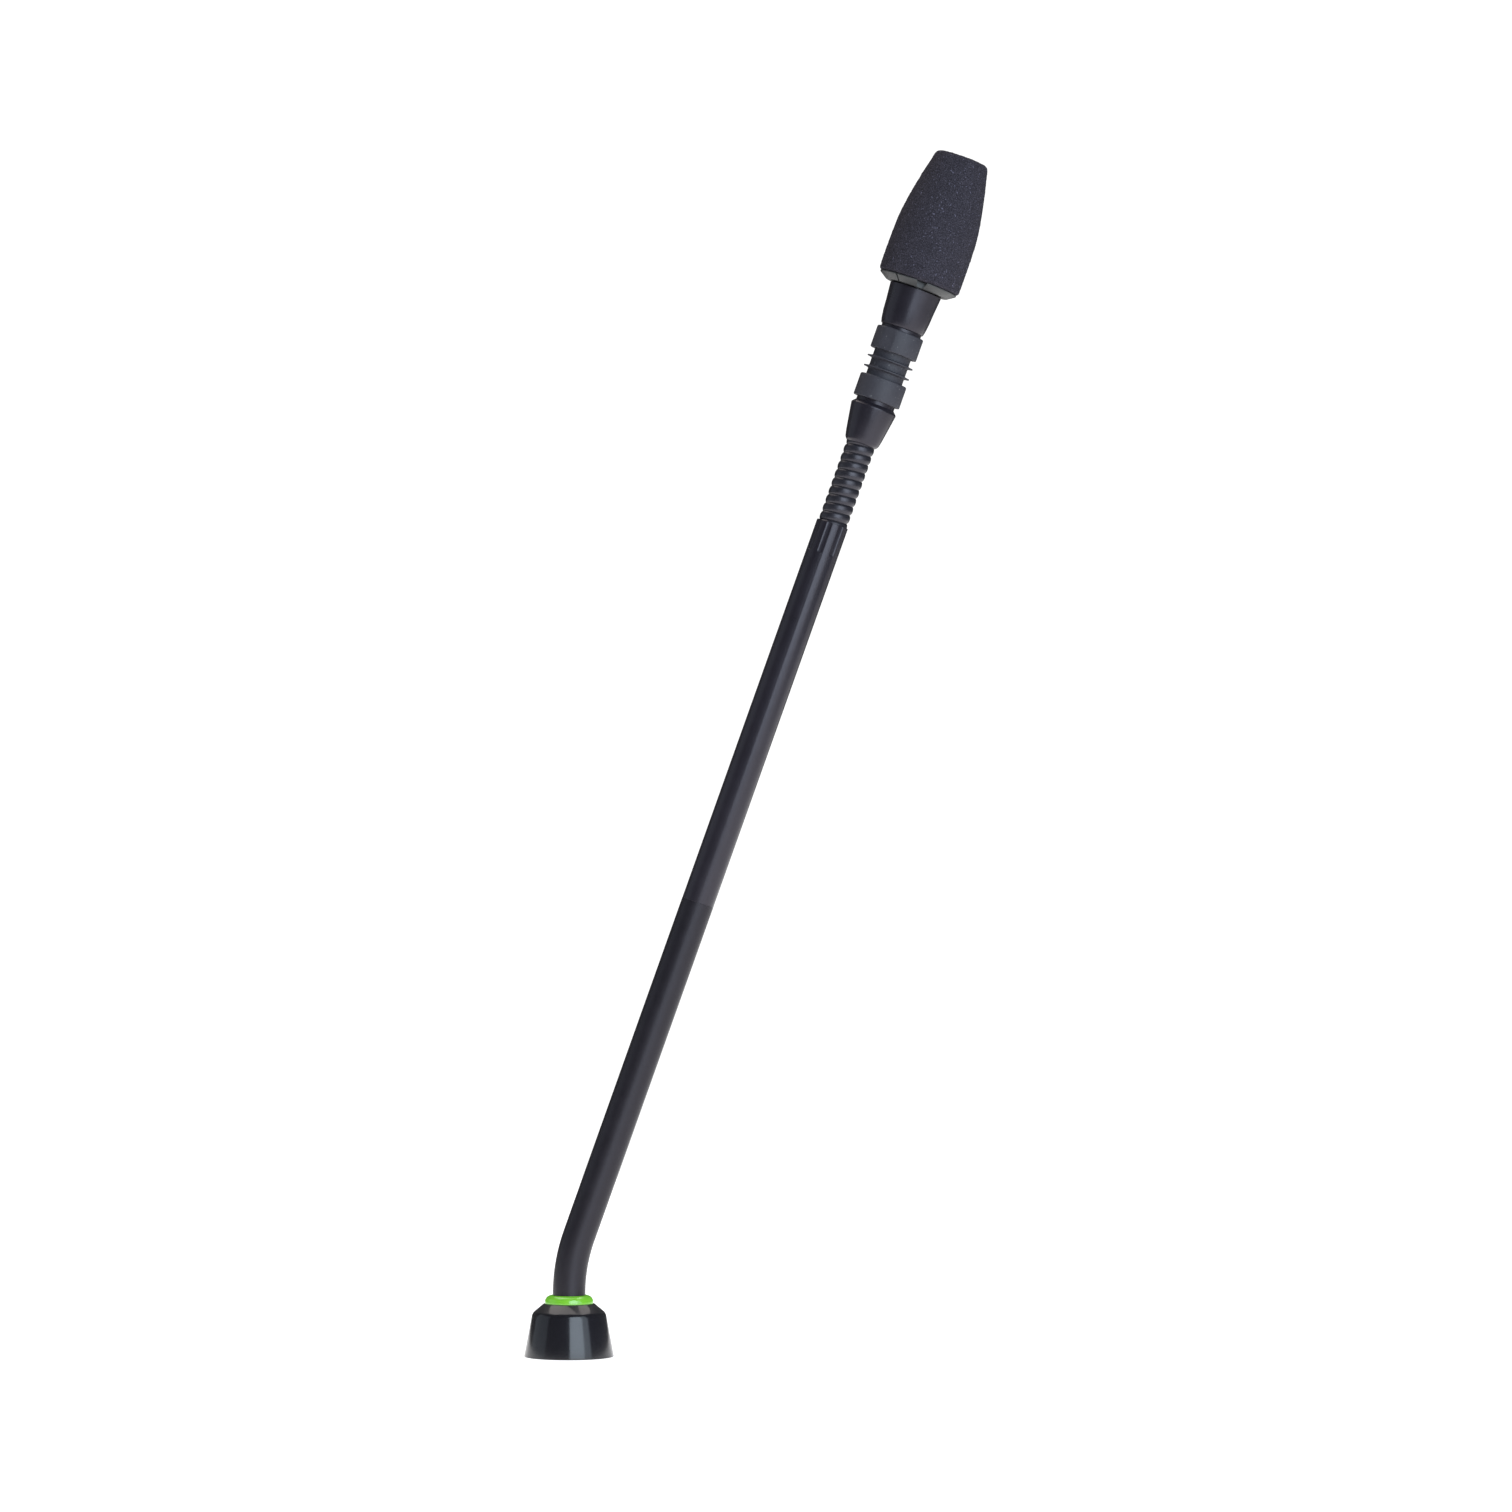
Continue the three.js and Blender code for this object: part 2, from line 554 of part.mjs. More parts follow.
/** Metal cone over the end of the upper neck, necked down to a groove under the rubber. */
function headFerrule() {
  const bottom = FERRULE_START + CLEARANCE;
  const top = FERRULE_START + FERRULE_LENGTH;
  const rise = (share) => bottom + share * (top - bottom);
  const bore = FERRULE_NECK - 1.2;
  return piece('head_ferrule', turned([
    [FERRULE_NECK - 0.7, bottom],
    [FERRULE_NECK - 0.1, rise(0.05)],
    [FERRULE_NECK + 0.5, rise(0.2)],
    [FERRULE_NECK + 1.0, rise(0.45)],
    [FERRULE_RADIUS - 0.55, rise(0.7)],
    [FERRULE_RADIUS, rise(0.91)],
    [FERRULE_RADIUS - 0.15, rise(0.955)],
    [GROOVE_RADIUS, top],
    [GROOVE_RADIUS, top + GROOVE_LENGTH - CLEARANCE],
    [NECK_BORE, top + GROOVE_LENGTH - CLEARANCE],
    [NECK_BORE, top - 2],
    [bore, top - 2],
    [bore, bottom],
  ]), satinBlack());
}

/** Rubber isolator: two round collars and a waist with two thin fins. */
function isolator() {
  const round = 0.5;
  const collar = (name, bottom) => {
    const top = bottom + COLLAR_LENGTH;
    return piece(name, turned([
      [COLLAR_RADIUS - round, bottom],
      ...arc(COLLAR_RADIUS - round, bottom + round, round, -45, 0, 2),
      ...arc(COLLAR_RADIUS - round, top - round, round, 0, 90, 3),
      [ISOLATOR_BORE, top],
      [ISOLATOR_BORE, bottom],
    ]), rubberGrey());
  };
  const low = WAIST_START + TILT_GAP;
  const high = UPPER_COLLAR_START - TILT_GAP;
  const fin = (share) => {
    const middle = low + share * (high - low);
    return [
      [WAIST_RADIUS, middle - FIN_THICKNESS / 2],
      [FIN_RADIUS, middle - FIN_THICKNESS / 5],
      [FIN_RADIUS, middle + FIN_THICKNESS / 5],
      [WAIST_RADIUS, middle + FIN_THICKNESS / 2],
    ];
  };
  const waist = piece('isolator_waist', turned([
    [WAIST_RADIUS, low],
    ...fin(0.26),
    ...fin(0.7),
    [WAIST_RADIUS, high],
    [ISOLATOR_BORE, high],
    [ISOLATOR_BORE, low],
  ]), rubberGrey());
  return [collar('isolator_lower_collar', LOWER_COLLAR_START), waist,
    collar('isolator_upper_collar', UPPER_COLLAR_START)];
}

/** Tapered cup that takes the cartridge barrel. */
function cartridgeHousing() {
  const foot = HOUSING_START + GROOVE_LENGTH;
  const rise = (share) => foot + share * (HOUSING_END - foot);
  const seat = CARTRIDGE_RADIUS + CLEARANCE;
  const ledge = HOUSING_END - BARREL_SEAT;
  const grow = HOUSING_TOP_RADIUS - HOUSING_FOOT_RADIUS;
  return piece('cartridge_housing', turned([
    [GROOVE_RADIUS + 0.25, HOUSING_START],
    [GROOVE_RADIUS + 0.25, foot - 0.3],
    [HOUSING_FOOT_RADIUS - 0.5, foot],
    [HOUSING_FOOT_RADIUS, rise(0.1)],
    [HOUSING_FOOT_RADIUS + grow * 0.35, rise(0.32)],
    [HOUSING_FOOT_RADIUS + grow * 0.55, rise(0.57)],
    [HOUSING_TOP_RADIUS, rise(0.99)],
    [HOUSING_TOP_RADIUS - 0.2, HOUSING_END],
    [seat, HOUSING_END],
    [seat, ledge],
    [ISOLATOR_BORE, ledge],
    [ISOLATOR_BORE, HOUSING_START],
  ]), satinBlack());
}

/** Slotted barrel round the capsule, open at the top behind its grille. */
function cartridgeBarrel() {
  const bottom = HOUSING_END - BARREL_SEAT + CLEARANCE;
  const top = CLIP_START + CARTRIDGE_REACH;
  const tube = pipe(CARTRIDGE_RADIUS, CARTRIDGE_RADIUS - CARTRIDGE_WALL, bottom, top, 24);
  const slot = () => new THREE.BoxGeometry(4 * CARTRIDGE_WALL, SLOT_WIDTH, SLOT_HEIGHT)
    .translate(0, 0, top - SLOT_HEIGHT * 0.75 - 1.5);
  const barrel = cut(tube, toolsRound(BARREL_SLOTS, CARTRIDGE_RADIUS, 0, slot));
  const grille = rod(CARTRIDGE_RADIUS, top + CLEARANCE, top + CLEARANCE + 0.6, 24);
  return [piece('cartridge_barrel', barrel, satinBlack()), piece('capsule_grille', grille, steel())];
}

/** The electret capsule and its board, inside the barrel. */
function capsule() {
  const fit = CARTRIDGE_RADIUS - CARTRIDGE_WALL - CLEARANCE;
  const top = CLIP_START + CARTRIDGE_REACH - 1;
  const canHeight = 8;
  const bottom = top - canHeight;
  const inside = fit - 0.5;
  return [
    piece('capsule_can', cupUp(fit, inside, bottom, top, 0.8), aluminium()),
    piece('capsule_backplate', rod(inside - CLEARANCE, bottom + 4.2, bottom + 5.2), brass()),
    piece('capsule_diaphragm', rod(inside - CLEARANCE, bottom + 5.6, bottom + 5.9), steel()),
    piece('capsule_board', rod(fit, bottom - 4, bottom - 4 + BOARD_THICKNESS), boardGreen()),
  ];
}

/** Ring that holds the foam: a bevelled foot with slots, and a sleeve that grips the barrel. */
function windscreenClip() {
  const bore = CARTRIDGE_RADIUS + 2 * CLEARANCE;
  const top = CLIP_START + CLIP_HEIGHT;
  const ring = turned([
    [bore, CLIP_START],
    [CLIP_FOOT_RADIUS, CLIP_START],
    [CLIP_RADIUS - 0.15, top - 0.3],
    [CLIP_RADIUS - 0.05, top],
    [bore + CLIP_SLEEVE, top],
    [bore + CLIP_SLEEVE, top + CLIP_SLEEVE_LENGTH],
    [bore, top + CLIP_SLEEVE_LENGTH],
  ]);
  const depth = CLIP_RADIUS - CLIP_FOOT_RADIUS;
  const notch = (width) => () => new THREE.BoxGeometry(2 * depth, width, CLIP_HEIGHT)
    .translate(0, 0, CLIP_START + CLIP_HEIGHT * 0.1);
  const reach = CLIP_RADIUS + depth * 0.35;
  const cuts = [
    ...toolsRound(CLIP_SLOTS, reach, -85, notch(3.0)),
    ...toolsRound(CLIP_SLOTS, reach, -126, notch(0.9)),
  ];
  return piece('windscreen_clip', cut(ring, cuts), clipGrey());
}

/** Foam windscreen: a bulb that narrows to a flat top, with a blind bore for the barrel and the clip's sleeve. */
function windscreenFoam() {
  const shape = new THREE.SplineCurve([
    [FOAM_RADIUS - 0.1, 0],
    [FOAM_RADIUS - 0.1, 0.08],
    [FOAM_RADIUS, 0.3],
    [FOAM_RADIUS - 0.45, 0.49],
    [FOAM_RADIUS - 1.45, 0.65],
    [FOAM_RADIUS - 2.6, 0.79],
    [FOAM_RADIUS - 3.5, 0.91],
    [FOAM_TOP_RADIUS + 0.9, 0.965],
    [FOAM_TOP_RADIUS, 1],
  ].map(([radius, share]) => new THREE.Vector2(radius, FOAM_START + share * FOAM_LENGTH)));
  const outside = shape.getPoints(16).map((point) => [point.x, point.y]);
  const bore = CARTRIDGE_RADIUS + 2 * CLEARANCE;
  const sleeveBore = bore + CLIP_SLEEVE + CLEARANCE;
  const sleeveTop = CLIP_START + CLIP_HEIGHT + CLIP_SLEEVE_LENGTH + CLEARANCE;
  const boreTop = CLIP_START + CARTRIDGE_REACH + 1.5;
  return piece('windscreen_foam', turned([
    [0, boreTop],
    [bore, boreTop],
    [bore, sleeveTop],
    [sleeveBore, sleeveTop],
    [sleeveBore, FOAM_START],
    ...outside,
    [0, FOAM_START + FOAM_LENGTH],
  ]), foamCharcoal());
}

/** Cable from the boards in the base, up through both necks and the tube, to the capsule's board. */
function micCable() {
  const from = BUSH_BOTTOM + CLEARANCE - NECK_START;
  const to = HOUSING_END + 4 - TUBE_START + NECK_LENGTH;
  return piece('mic_cable', alongNeck(from, to, CABLE_RADIUS, 0, 70, 8), satinBlack());
}

// ---- assembly ----------------------------------------------------------------------------------

const leaning = new THREE.Group();
leaning.position.z = TURN_HEIGHT;
leaning.rotation.y = LEAN;
leaning.add(tubePlug(), stemTube(), upperPlug(), ...ribLinks(), ferrulePlug(), headFerrule(), ...isolator(),
  cartridgeHousing(), ...cartridgeBarrel(), ...capsule(), windscreenClip(), windscreenFoam());

const microphone = new THREE.Group();
microphone.add(baseHousing(), basePlate(), ...plateScrews(), ...mountingInserts(), outputSocket(),
  ...preampBoard(), ...ledBoard(), lightRing(), ...neckSocket(), neckPlug(), ...neckLinks(), micCable(), leaning);

export default microphone;
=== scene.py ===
import json
import math

import bpy
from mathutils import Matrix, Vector


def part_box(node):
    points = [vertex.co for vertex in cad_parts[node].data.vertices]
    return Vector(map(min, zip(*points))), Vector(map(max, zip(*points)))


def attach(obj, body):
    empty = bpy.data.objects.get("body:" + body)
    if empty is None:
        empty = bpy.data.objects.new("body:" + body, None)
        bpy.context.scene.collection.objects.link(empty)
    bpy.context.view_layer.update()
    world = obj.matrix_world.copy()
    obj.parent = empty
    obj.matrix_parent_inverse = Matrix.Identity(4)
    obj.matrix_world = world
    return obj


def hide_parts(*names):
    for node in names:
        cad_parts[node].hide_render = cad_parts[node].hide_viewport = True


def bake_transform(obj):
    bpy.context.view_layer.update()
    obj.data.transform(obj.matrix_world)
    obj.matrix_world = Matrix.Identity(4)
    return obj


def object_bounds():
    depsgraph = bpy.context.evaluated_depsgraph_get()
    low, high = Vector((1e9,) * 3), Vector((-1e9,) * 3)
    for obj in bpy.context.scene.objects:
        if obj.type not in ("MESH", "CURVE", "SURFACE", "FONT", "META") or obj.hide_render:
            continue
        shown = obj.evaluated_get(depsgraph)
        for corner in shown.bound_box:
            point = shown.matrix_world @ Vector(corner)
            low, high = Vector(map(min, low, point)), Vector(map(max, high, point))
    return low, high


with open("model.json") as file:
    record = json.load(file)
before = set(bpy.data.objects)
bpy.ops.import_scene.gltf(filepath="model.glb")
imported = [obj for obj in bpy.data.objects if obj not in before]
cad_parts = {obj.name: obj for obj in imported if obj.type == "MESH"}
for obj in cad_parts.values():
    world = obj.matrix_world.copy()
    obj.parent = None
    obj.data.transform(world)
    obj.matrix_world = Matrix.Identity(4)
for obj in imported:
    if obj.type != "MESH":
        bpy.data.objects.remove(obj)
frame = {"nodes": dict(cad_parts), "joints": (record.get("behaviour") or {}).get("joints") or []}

cad_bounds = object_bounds()


# Base housing: a metal cone turned in one piece, with a rounded shoulder and a sloping deck, and painted
# gloss black. It is hollow for the boards and is closed from below by the bottom plate.

MM = 0.001
MERGE_DISTANCE = 0.002 * MM
CORNER_TOLERANCE = 0.02
SMOOTH_ANGLE = math.radians(35)


def deselect():
    """Leaves nothing selected, in object mode."""
    if bpy.context.object and bpy.context.object.mode != "OBJECT":
        bpy.ops.object.mode_set(mode="OBJECT")
    bpy.ops.object.select_all(action="DESELECT")


def make_active(obj):
    """Selects one object alone, for the operators that follow."""
    deselect()
    obj.select_set(True)
    bpy.context.view_layer.objects.active = obj


def turn(name, outline, sides=96):
    """Turns an outline of (radius, height) in millimetres round the upright axis into a closed piece.

    The outline runs up the outside and down the inside, and closes on the axis or on its first point.
    """
    deselect()
    bpy.ops.mesh.primitive_plane_add(size=MM)
    piece = bpy.context.object
    piece.name = name
    bpy.ops.object.mode_set(mode="EDIT")
    bpy.ops.mesh.select_all(action="SELECT")
    bpy.ops.mesh.merge(type="CENTER")
    first = outline[0]
    bpy.ops.transform.translate(value=(first[0] * MM, 0, first[1] * MM))
    on_axis = first[0] == 0 and outline[-1][0] == 0
    rest = outline[1:] if on_axis else outline[1:] + [first]
    previous = first
    for point in rest:
        step = ((point[0] - previous[0]) * MM, 0, (point[1] - previous[1]) * MM)
        bpy.ops.mesh.extrude_region_move(TRANSFORM_OT_translate={"value": step})
        previous = point
    bpy.ops.mesh.select_all(action="SELECT")
    bpy.ops.mesh.spin(steps=sides, angle=2 * math.pi, center=(0, 0, 0), axis=(0, 0, 1))
    bpy.ops.mesh.select_all(action="SELECT")
    bpy.ops.mesh.remove_doubles(threshold=MERGE_DISTANCE)
    bpy.ops.mesh.normals_make_consistent(inside=False)
    bpy.ops.object.mode_set(mode="OBJECT")
    return piece


def pick_edges(piece, wanted):
    """Goes into edit mode with the edges selected whose two ends both pass the test."""
    make_active(piece)
    bpy.ops.object.mode_set(mode="EDIT")
    bpy.ops.mesh.select_mode(type="EDGE")
    bpy.ops.mesh.select_all(action="DESELECT")
    bpy.ops.object.mode_set(mode="OBJECT")
    points = piece.data.vertices
    for edge in piece.data.edges:
        edge.select = all(wanted(points[i].co) for i in edge.vertices)
    bpy.ops.object.mode_set(mode="EDIT")


def round_corner(piece, corner, width, segments=4):
    """Bevels the ring of edges at one (radius, height) of a turned piece, in millimetres."""
    def on_corner(co):
        return math.dist((math.hypot(co.x, co.y) / MM, co.z / MM), corner) < CORNER_TOLERANCE

    pick_edges(piece, on_corner)
    bpy.ops.mesh.bevel(offset=width * MM, segments=segments, affect="EDGES")
    bpy.ops.mesh.select_mode(type="VERT")
    bpy.ops.object.mode_set(mode="OBJECT")


def apply_modifier(piece, kind, **settings):
    """Adds one modifier to the piece and applies it at once."""
    make_active(piece)
    modifier = piece.modifiers.new(kind.title(), kind)
    for key, value in settings.items():
        setattr(modifier, key, value)
    bpy.ops.object.modifier_apply(modifier=modifier.name)


def smooth(piece, angle=SMOOTH_ANGLE):
    """Shades the piece smooth, but for edges sharper than the angle."""
    make_active(piece)
    bpy.ops.object.shade_smooth_by_angle(angle=angle)


class Wire:
    """One output of a material's nodes.

    Arithmetic on it adds Math nodes, so that a pattern reads as a formula.
    """

    def __init__(self, tree, socket=None):
        self.tree = tree
        self.socket = socket

    def node(self, kind, settings=None, inputs=None, output=0):
        """Adds a node of any type: its settings first, a ramp's stops among them, then its sockets."""
        made = self.tree.nodes.new(kind)
        for key, value in (settings or {}).items():
            if key == "stops":
                ramp = made.color_ramp.elements
                while len(ramp) < len(value):
                    ramp.new(0.5)
                for element, (place, grey) in zip(ramp, value):
                    element.position = place
                    element.color = (grey, grey, grey, 1)
            else:
                setattr(made, key, value)
        for key, value in (inputs or {}).items():
            if isinstance(value, Wire):
                self.tree.links.new(value.socket, made.inputs[key])
            else:
                made.inputs[key].default_value = value
        return Wire(self.tree, made.outputs[output])

    def math(self, operation, left, right):
        """One Math node on numbers or wires."""
        return self.node("ShaderNodeMath", {"operation": operation}, {0: left, 1: right})

    def __add__(self, other):
        return self.math("ADD", self, other)

    def __radd__(self, other):
        return self.math("ADD", other, self)

    def __rsub__(self, other):
        return self.math("SUBTRACT", other, self)

    def __mul__(self, other):
        return self.math("MULTIPLY", self, other)

    def __rmul__(self, other):
        return self.math("MULTIPLY", other, self)

    def noise(self, scale, detail=3.0):
        """Soft noise in the piece's own space, from 0 to 1; scale is in lumps per metre."""
        sockets = {"Vector": self, "Scale": scale, "Detail": detail}
        return self.node("ShaderNodeTexNoise", {}, sockets)

    def mix(self, factor, first, second):
        """A colour between two colours, by the numbered colour sockets of a Mix node."""
        return self.node("ShaderNodeMix", {"data_type": "RGBA"}, {0: factor, 6: first, 7: second}, 2)

    def above(self, start, end):
        """A mask that goes from 0 to 1 between two values."""
        return self.node("ShaderNodeMapRange", {}, {0: self, 1: start, 2: end})

    def spots(self, start, end):
        """A mask of the places where the pattern is over a level, from a ramp between two levels."""
        return self.node("ShaderNodeValToRGB", {"stops": [(start, 0.0), (end, 1.0)]}, {"Fac": self})


class Finish:
    """A material with one Principled shader, and the wires and constants that go into it."""

    def __init__(self, name, **constants):
        self.material = bpy.data.materials.new(name)
        self.material.use_nodes = True
        self.shader = self.material.node_tree.nodes["Principled BSDF"]
        for key, value in constants.items():
            self.shader.inputs[key.replace("_", " ")].default_value = value
        self.place = Wire(self.material.node_tree).node("ShaderNodeTexCoord", output="Object")

    def drive(self, socket, wire):
        """Lets a pattern drive one socket of the shader."""
        self.material.node_tree.links.new(wire.socket, self.shader.inputs[socket])

    def bump(self, height, depth):
        """Relief of the given depth in millimetres."""
        relief = {"Height": height, "Distance": depth * MM}
        self.drive("Normal", self.place.node("ShaderNodeBump", {}, relief))


def shade(grey, tint=(1.0, 1.0, 1.0)):
    """A grey as a colour, with a tint if one is given."""
    return (grey * tint[0], grey * tint[1], grey * tint[2], 1.0)


def dress(piece, finish, body, slot, *replaced):
    """Gives a finished piece its material, body and the CAD nodes that it stands for. The slot is not
    used.

    A piece given no body here is not attached to any.
    """
    piece.data.materials.clear()
    piece.data.materials.append(finish.material)
    if body:
        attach(piece, body)
    if replaced:
        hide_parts(*replaced)
    return piece


def gloss_paint(deck_start):
    """Gloss black paint, hazier from the given height up, on the deck, where it is polished less."""
    haze_edge = 0.8 * MM
    paint = Finish("gloss black paint", IOR=1.5, Specular_IOR_Level=0.5, Coat_Roughness=0.09)
    cool = (1.0, 0.98, 1.3)
    tone = paint.place.noise(90, 2)
    paint.drive("Base Color", tone.mix(tone, shade(0.009, cool), shade(0.015, cool)))
    smear = paint.place.noise(160, 5)
    height = paint.place.node("ShaderNodeSeparateXYZ", {}, {0: paint.place}, 2)
    haze = height.above(deck_start, deck_start + haze_edge)
    paint.drive("Roughness", 0.12 + 0.10 * smear + 0.28 * haze)
    paint.drive("Coat Weight", 0.25 + 0.2 * tone + 0.3 * haze)
    paint.bump(paint.place.noise(1400, 2), 0.004)
    return paint


def base_size(node):
    """Radius and lowest and highest point of an upright CAD node, in millimetres."""
    low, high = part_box(node)
    return high.y / MM, low.z / MM, high.z / MM


foot_radius, foot, deck = base_size("base_housing")
plate_radius, _, plate_top = base_size("base_plate")
shoulder = (11.1, 13.0)
deck_edge = (7.6, deck)
deck_thickness = 2.6
ceiling = deck - deck_thickness
plate_gap = 0.3
seat_radius = plate_radius + plate_gap
seat_height = plate_top + plate_gap
cavity_radius = 9.3
ring_bore = 6.4
foot_round, shoulder_round, deck_round = 0.22, 1.0, 0.25

housing = turn("base_housing_turned", [
    (seat_radius, foot),
    (foot_radius, foot),
    shoulder,
    deck_edge,
    (ring_bore, deck),
    (ring_bore, ceiling),
    (cavity_radius, ceiling),
    (cavity_radius, seat_height),
    (seat_radius, seat_height),
], sides=128)
round_corner(housing, shoulder, shoulder_round, 6)
round_corner(housing, (foot_radius, foot), foot_round, 3)
round_corner(housing, deck_edge, deck_round, 3)
smooth(housing)
dress(housing, gloss_paint(shoulder[1] * MM), "base", "base_gloss", "base_housing")


# Light ring: a clear plastic collar with a domed top that glows lime green. It drops into the deck's
# bore from above, and its skirt carries the light up from four LEDs on the board below.

ring_radius, ring_foot, ring_top = base_size("light_ring")
neck_radius = 4.9
ring_inner = neck_radius + 0.12
skirt_radius = ring_bore - 0.3
dome_foot = deck + 0.1
dome_centre = (ring_inner + 0.25, dome_foot + 0.35)
dome_width = ring_radius - dome_centre[0]
dome_height = ring_top - dome_centre[1]
dome_steps = 8
dome = []
for i in range(dome_steps + 1):
    turned = math.radians(90 * i / dome_steps)
    out, up = dome_width * math.cos(turned), dome_height * math.sin(turned)
    dome.append((dome_centre[0] + out, dome_centre[1] + up))
light_ring = turn("light_ring_lens", [
    (ring_inner, ring_foot),
    (skirt_radius, ring_foot),
    (skirt_radius, dome_foot),
    (ring_radius, dome_foot),
] + dome + [(ring_inner, ring_top)])
smooth(light_ring)


def lit_plastic():
    """Clear plastic, lit from below and a little cloudy."""
    lens = Finish("lit lime lens", Roughness=0.18, IOR=1.6, Specular_IOR_Level=0.8,
                  Emission_Strength=1.0)
    cloud = lens.place.noise(260, 2)
    lens.drive("Base Color", cloud.mix(cloud, (0.11, 0.35, 0.02, 1), (0.18, 0.45, 0.04, 1)))
    lens.drive("Emission Color", cloud.mix(cloud, (0.05, 0.20, 0.006, 1), (0.09, 0.27, 0.014, 1)))
    lens.bump(lens.place.noise(900, 3), 0.006)
    return lens


dress(light_ring, lit_plastic(), "base", "light_ring", "light_ring")


# Lower neck: a wound steel core in a smooth black sleeve, upright where it leaves the base and then
# leaning. It is made as one stretch for each hinge of the frame.

joints = {joint["name"]: joint for joint in frame["joints"]}
lean_axis = Vector(joints["windscreen_slide"]["axis"]).normalized()
lean_angle = math.atan2(lean_axis.x, lean_axis.z)
neck_end = Vector(joints["stem_turn"]["pos_m"])
neck_start = Vector(joints["lower_aim"]["pos_m"])
bend_count = sum(name.startswith("lower_bend") for name in joints)
crossing = neck_end - lean_axis * (neck_end.x / lean_axis.x)
tangent = (crossing - neck_start).length
bend_radius = tangent / math.tan(lean_angle / 2)
bend_length = bend_radius * lean_angle
neck_length = bend_length + (neck_end - crossing).length - tangent
neck_step = neck_length / bend_count


def neck_tilt(length):
    """How far the neck has turned from upright at a length along it."""
    return min(max(length / bend_radius, 0), lean_angle)


def neck_point(length):
    """A point of the neck's axis, in metres, at a length from where the flexible part begins."""
    turned = neck_tilt(length)
    below = Vector((0, 0, min(length, 0)))
    bend = Vector((bend_radius * (1 - math.cos(turned)), 0, bend_radius * math.sin(turned)))
    return neck_start + below + bend + lean_axis * max(length - bend_length, 0)


def neck_stretch(name, start, end, radius, rings, sides=64):
    """A round bar along the neck's axis, in metres.

    A disc is extruded ring by ring, and each ring is moved and turned onto the axis.
    """
    deselect()
    bpy.ops.mesh.primitive_circle_add(vertices=sides, radius=radius, fill_type="NGON",
                                      location=neck_point(start), rotation=(0, neck_tilt(start), 0))
    bar = bpy.context.object
    bar.name = name
    bpy.ops.object.transform_apply(location=True, rotation=True, scale=True)
    bpy.ops.object.mode_set(mode="EDIT")
    bpy.ops.mesh.select_mode(type="FACE")
    bpy.ops.mesh.select_all(action="SELECT")
    for i in range(rings):
        here = start + (end - start) * i / rings
        there = start + (end - start) * (i + 1) / rings
        step = neck_point(there) - neck_point(here)
        bpy.ops.mesh.extrude_region_move(TRANSFORM_OT_translate={"value": step})
        twist = neck_tilt(there) - neck_tilt(here)
        if twist:
            bpy.ops.transform.rotate(value=-twist, orient_axis="Y", center_override=neck_point(there))
    bpy.ops.mesh.select_all(action="SELECT")
    bpy.ops.mesh.normals_make_consistent(inside=False)
    bpy.ops.mesh.select_mode(type="VERT")
    bpy.ops.object.mode_set(mode="OBJECT")
    return bar


VIOLET_SHEEN = (1.0, 0.93, 1.0, 1)


def sleeve_black():
    """Smooth black sleeving with a fine grain that breaks up its sheen."""
    sleeve = Finish("black neck sleeve", IOR=1.5, Specular_IOR_Level=0.42, Specular_Tint=VIOLET_SHEEN)
    cool = (1.0, 0.93, 1.3)
    tone = sleeve.place.noise(220, 4)
    sleeve.drive("Base Color", tone.mix(tone, shade(0.009, cool), shade(0.014, cool)))
    grain = sleeve.place.noise(5200, 2)
    sleeve.drive("Roughness", 0.30 + 0.10 * tone + 0.06 * grain)
    sleeve.bump(grain, 0.012)
    return sleeve


sleeve = sleeve_black()
foot_hidden = 3 * MM
rings, first_rings = 12, 15
for i in range(bend_count):
    start, end = i * neck_step, (i + 1) * neck_step
    first, last = i == 0, i == bend_count - 1
    stretch = neck_stretch(f"neck_sleeve_{i + 1}", start - foot_hidden if first else start, end,
                           neck_radius * MM, first_rings if first else rings)
    smooth(stretch)
    replaced = [f"neck_link_{i + 1}"]
    if last:
        replaced.append(f"neck_link_{bend_count + 1}")
    dress(stretch, sleeve, None, "neck_sleeve", *replaced)
    neck_point(start)
    neck_point(end)
    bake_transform(stretch)


# Stem tube: a drawn tube in satin black, crimped at its top on the upper neck's fitting. The crimp
# leaves a ring of long flats with rounded lower ends.

def along(node):
    """Lowest and highest station of a CAD node on the leaning axis and its largest radius.

    A station is the distance in millimetres from the point where that axis crosses the upright one.
    """
    low, high, radius = math.inf, -math.inf, 0.0
    for vertex in frame["nodes"][node].data.vertices:
        offset = vertex.co - crossing
        station = offset.dot(lean_axis)
        low, high = min(low, station), max(high, station)
        radius = max(radius, (offset - lean_axis * station).length)
    return low / MM, high / MM, radius / MM


def lean(piece):
    """Tips a piece made upright on the Z axis onto the leaning axis, its heights becoming stations."""
    make_active(piece)
    piece.rotation_euler.y = lean_angle
    piece.location = crossing
    bpy.ops.object.transform_apply(location=True, rotation=True, scale=True)
    return piece


def cut_away(piece, cutter):
    """Takes the cutter's shape out of the piece."""
    apply_modifier(piece, "BOOLEAN", object=cutter, operation="DIFFERENCE", solver="EXACT")
    bpy.data.objects.remove(cutter)


def copies_round(piece, count, start_degrees=0.0):
    """Joins copies of a piece at even steps round the upright axis into one object."""
    make_active(piece)
    bpy.ops.object.mode_set(mode="EDIT")
    bpy.ops.mesh.select_all(action="SELECT")
    bpy.ops.transform.rotate(value=-math.radians(start_degrees), orient_axis="Z",
                             center_override=(0, 0, 0))
    for _ in range(count - 1):
        bpy.ops.mesh.duplicate()
        bpy.ops.transform.rotate(value=2 * math.pi / count, orient_axis="Z", center_override=(0, 0, 0))
    bpy.ops.object.mode_set(mode="OBJECT")
    return piece


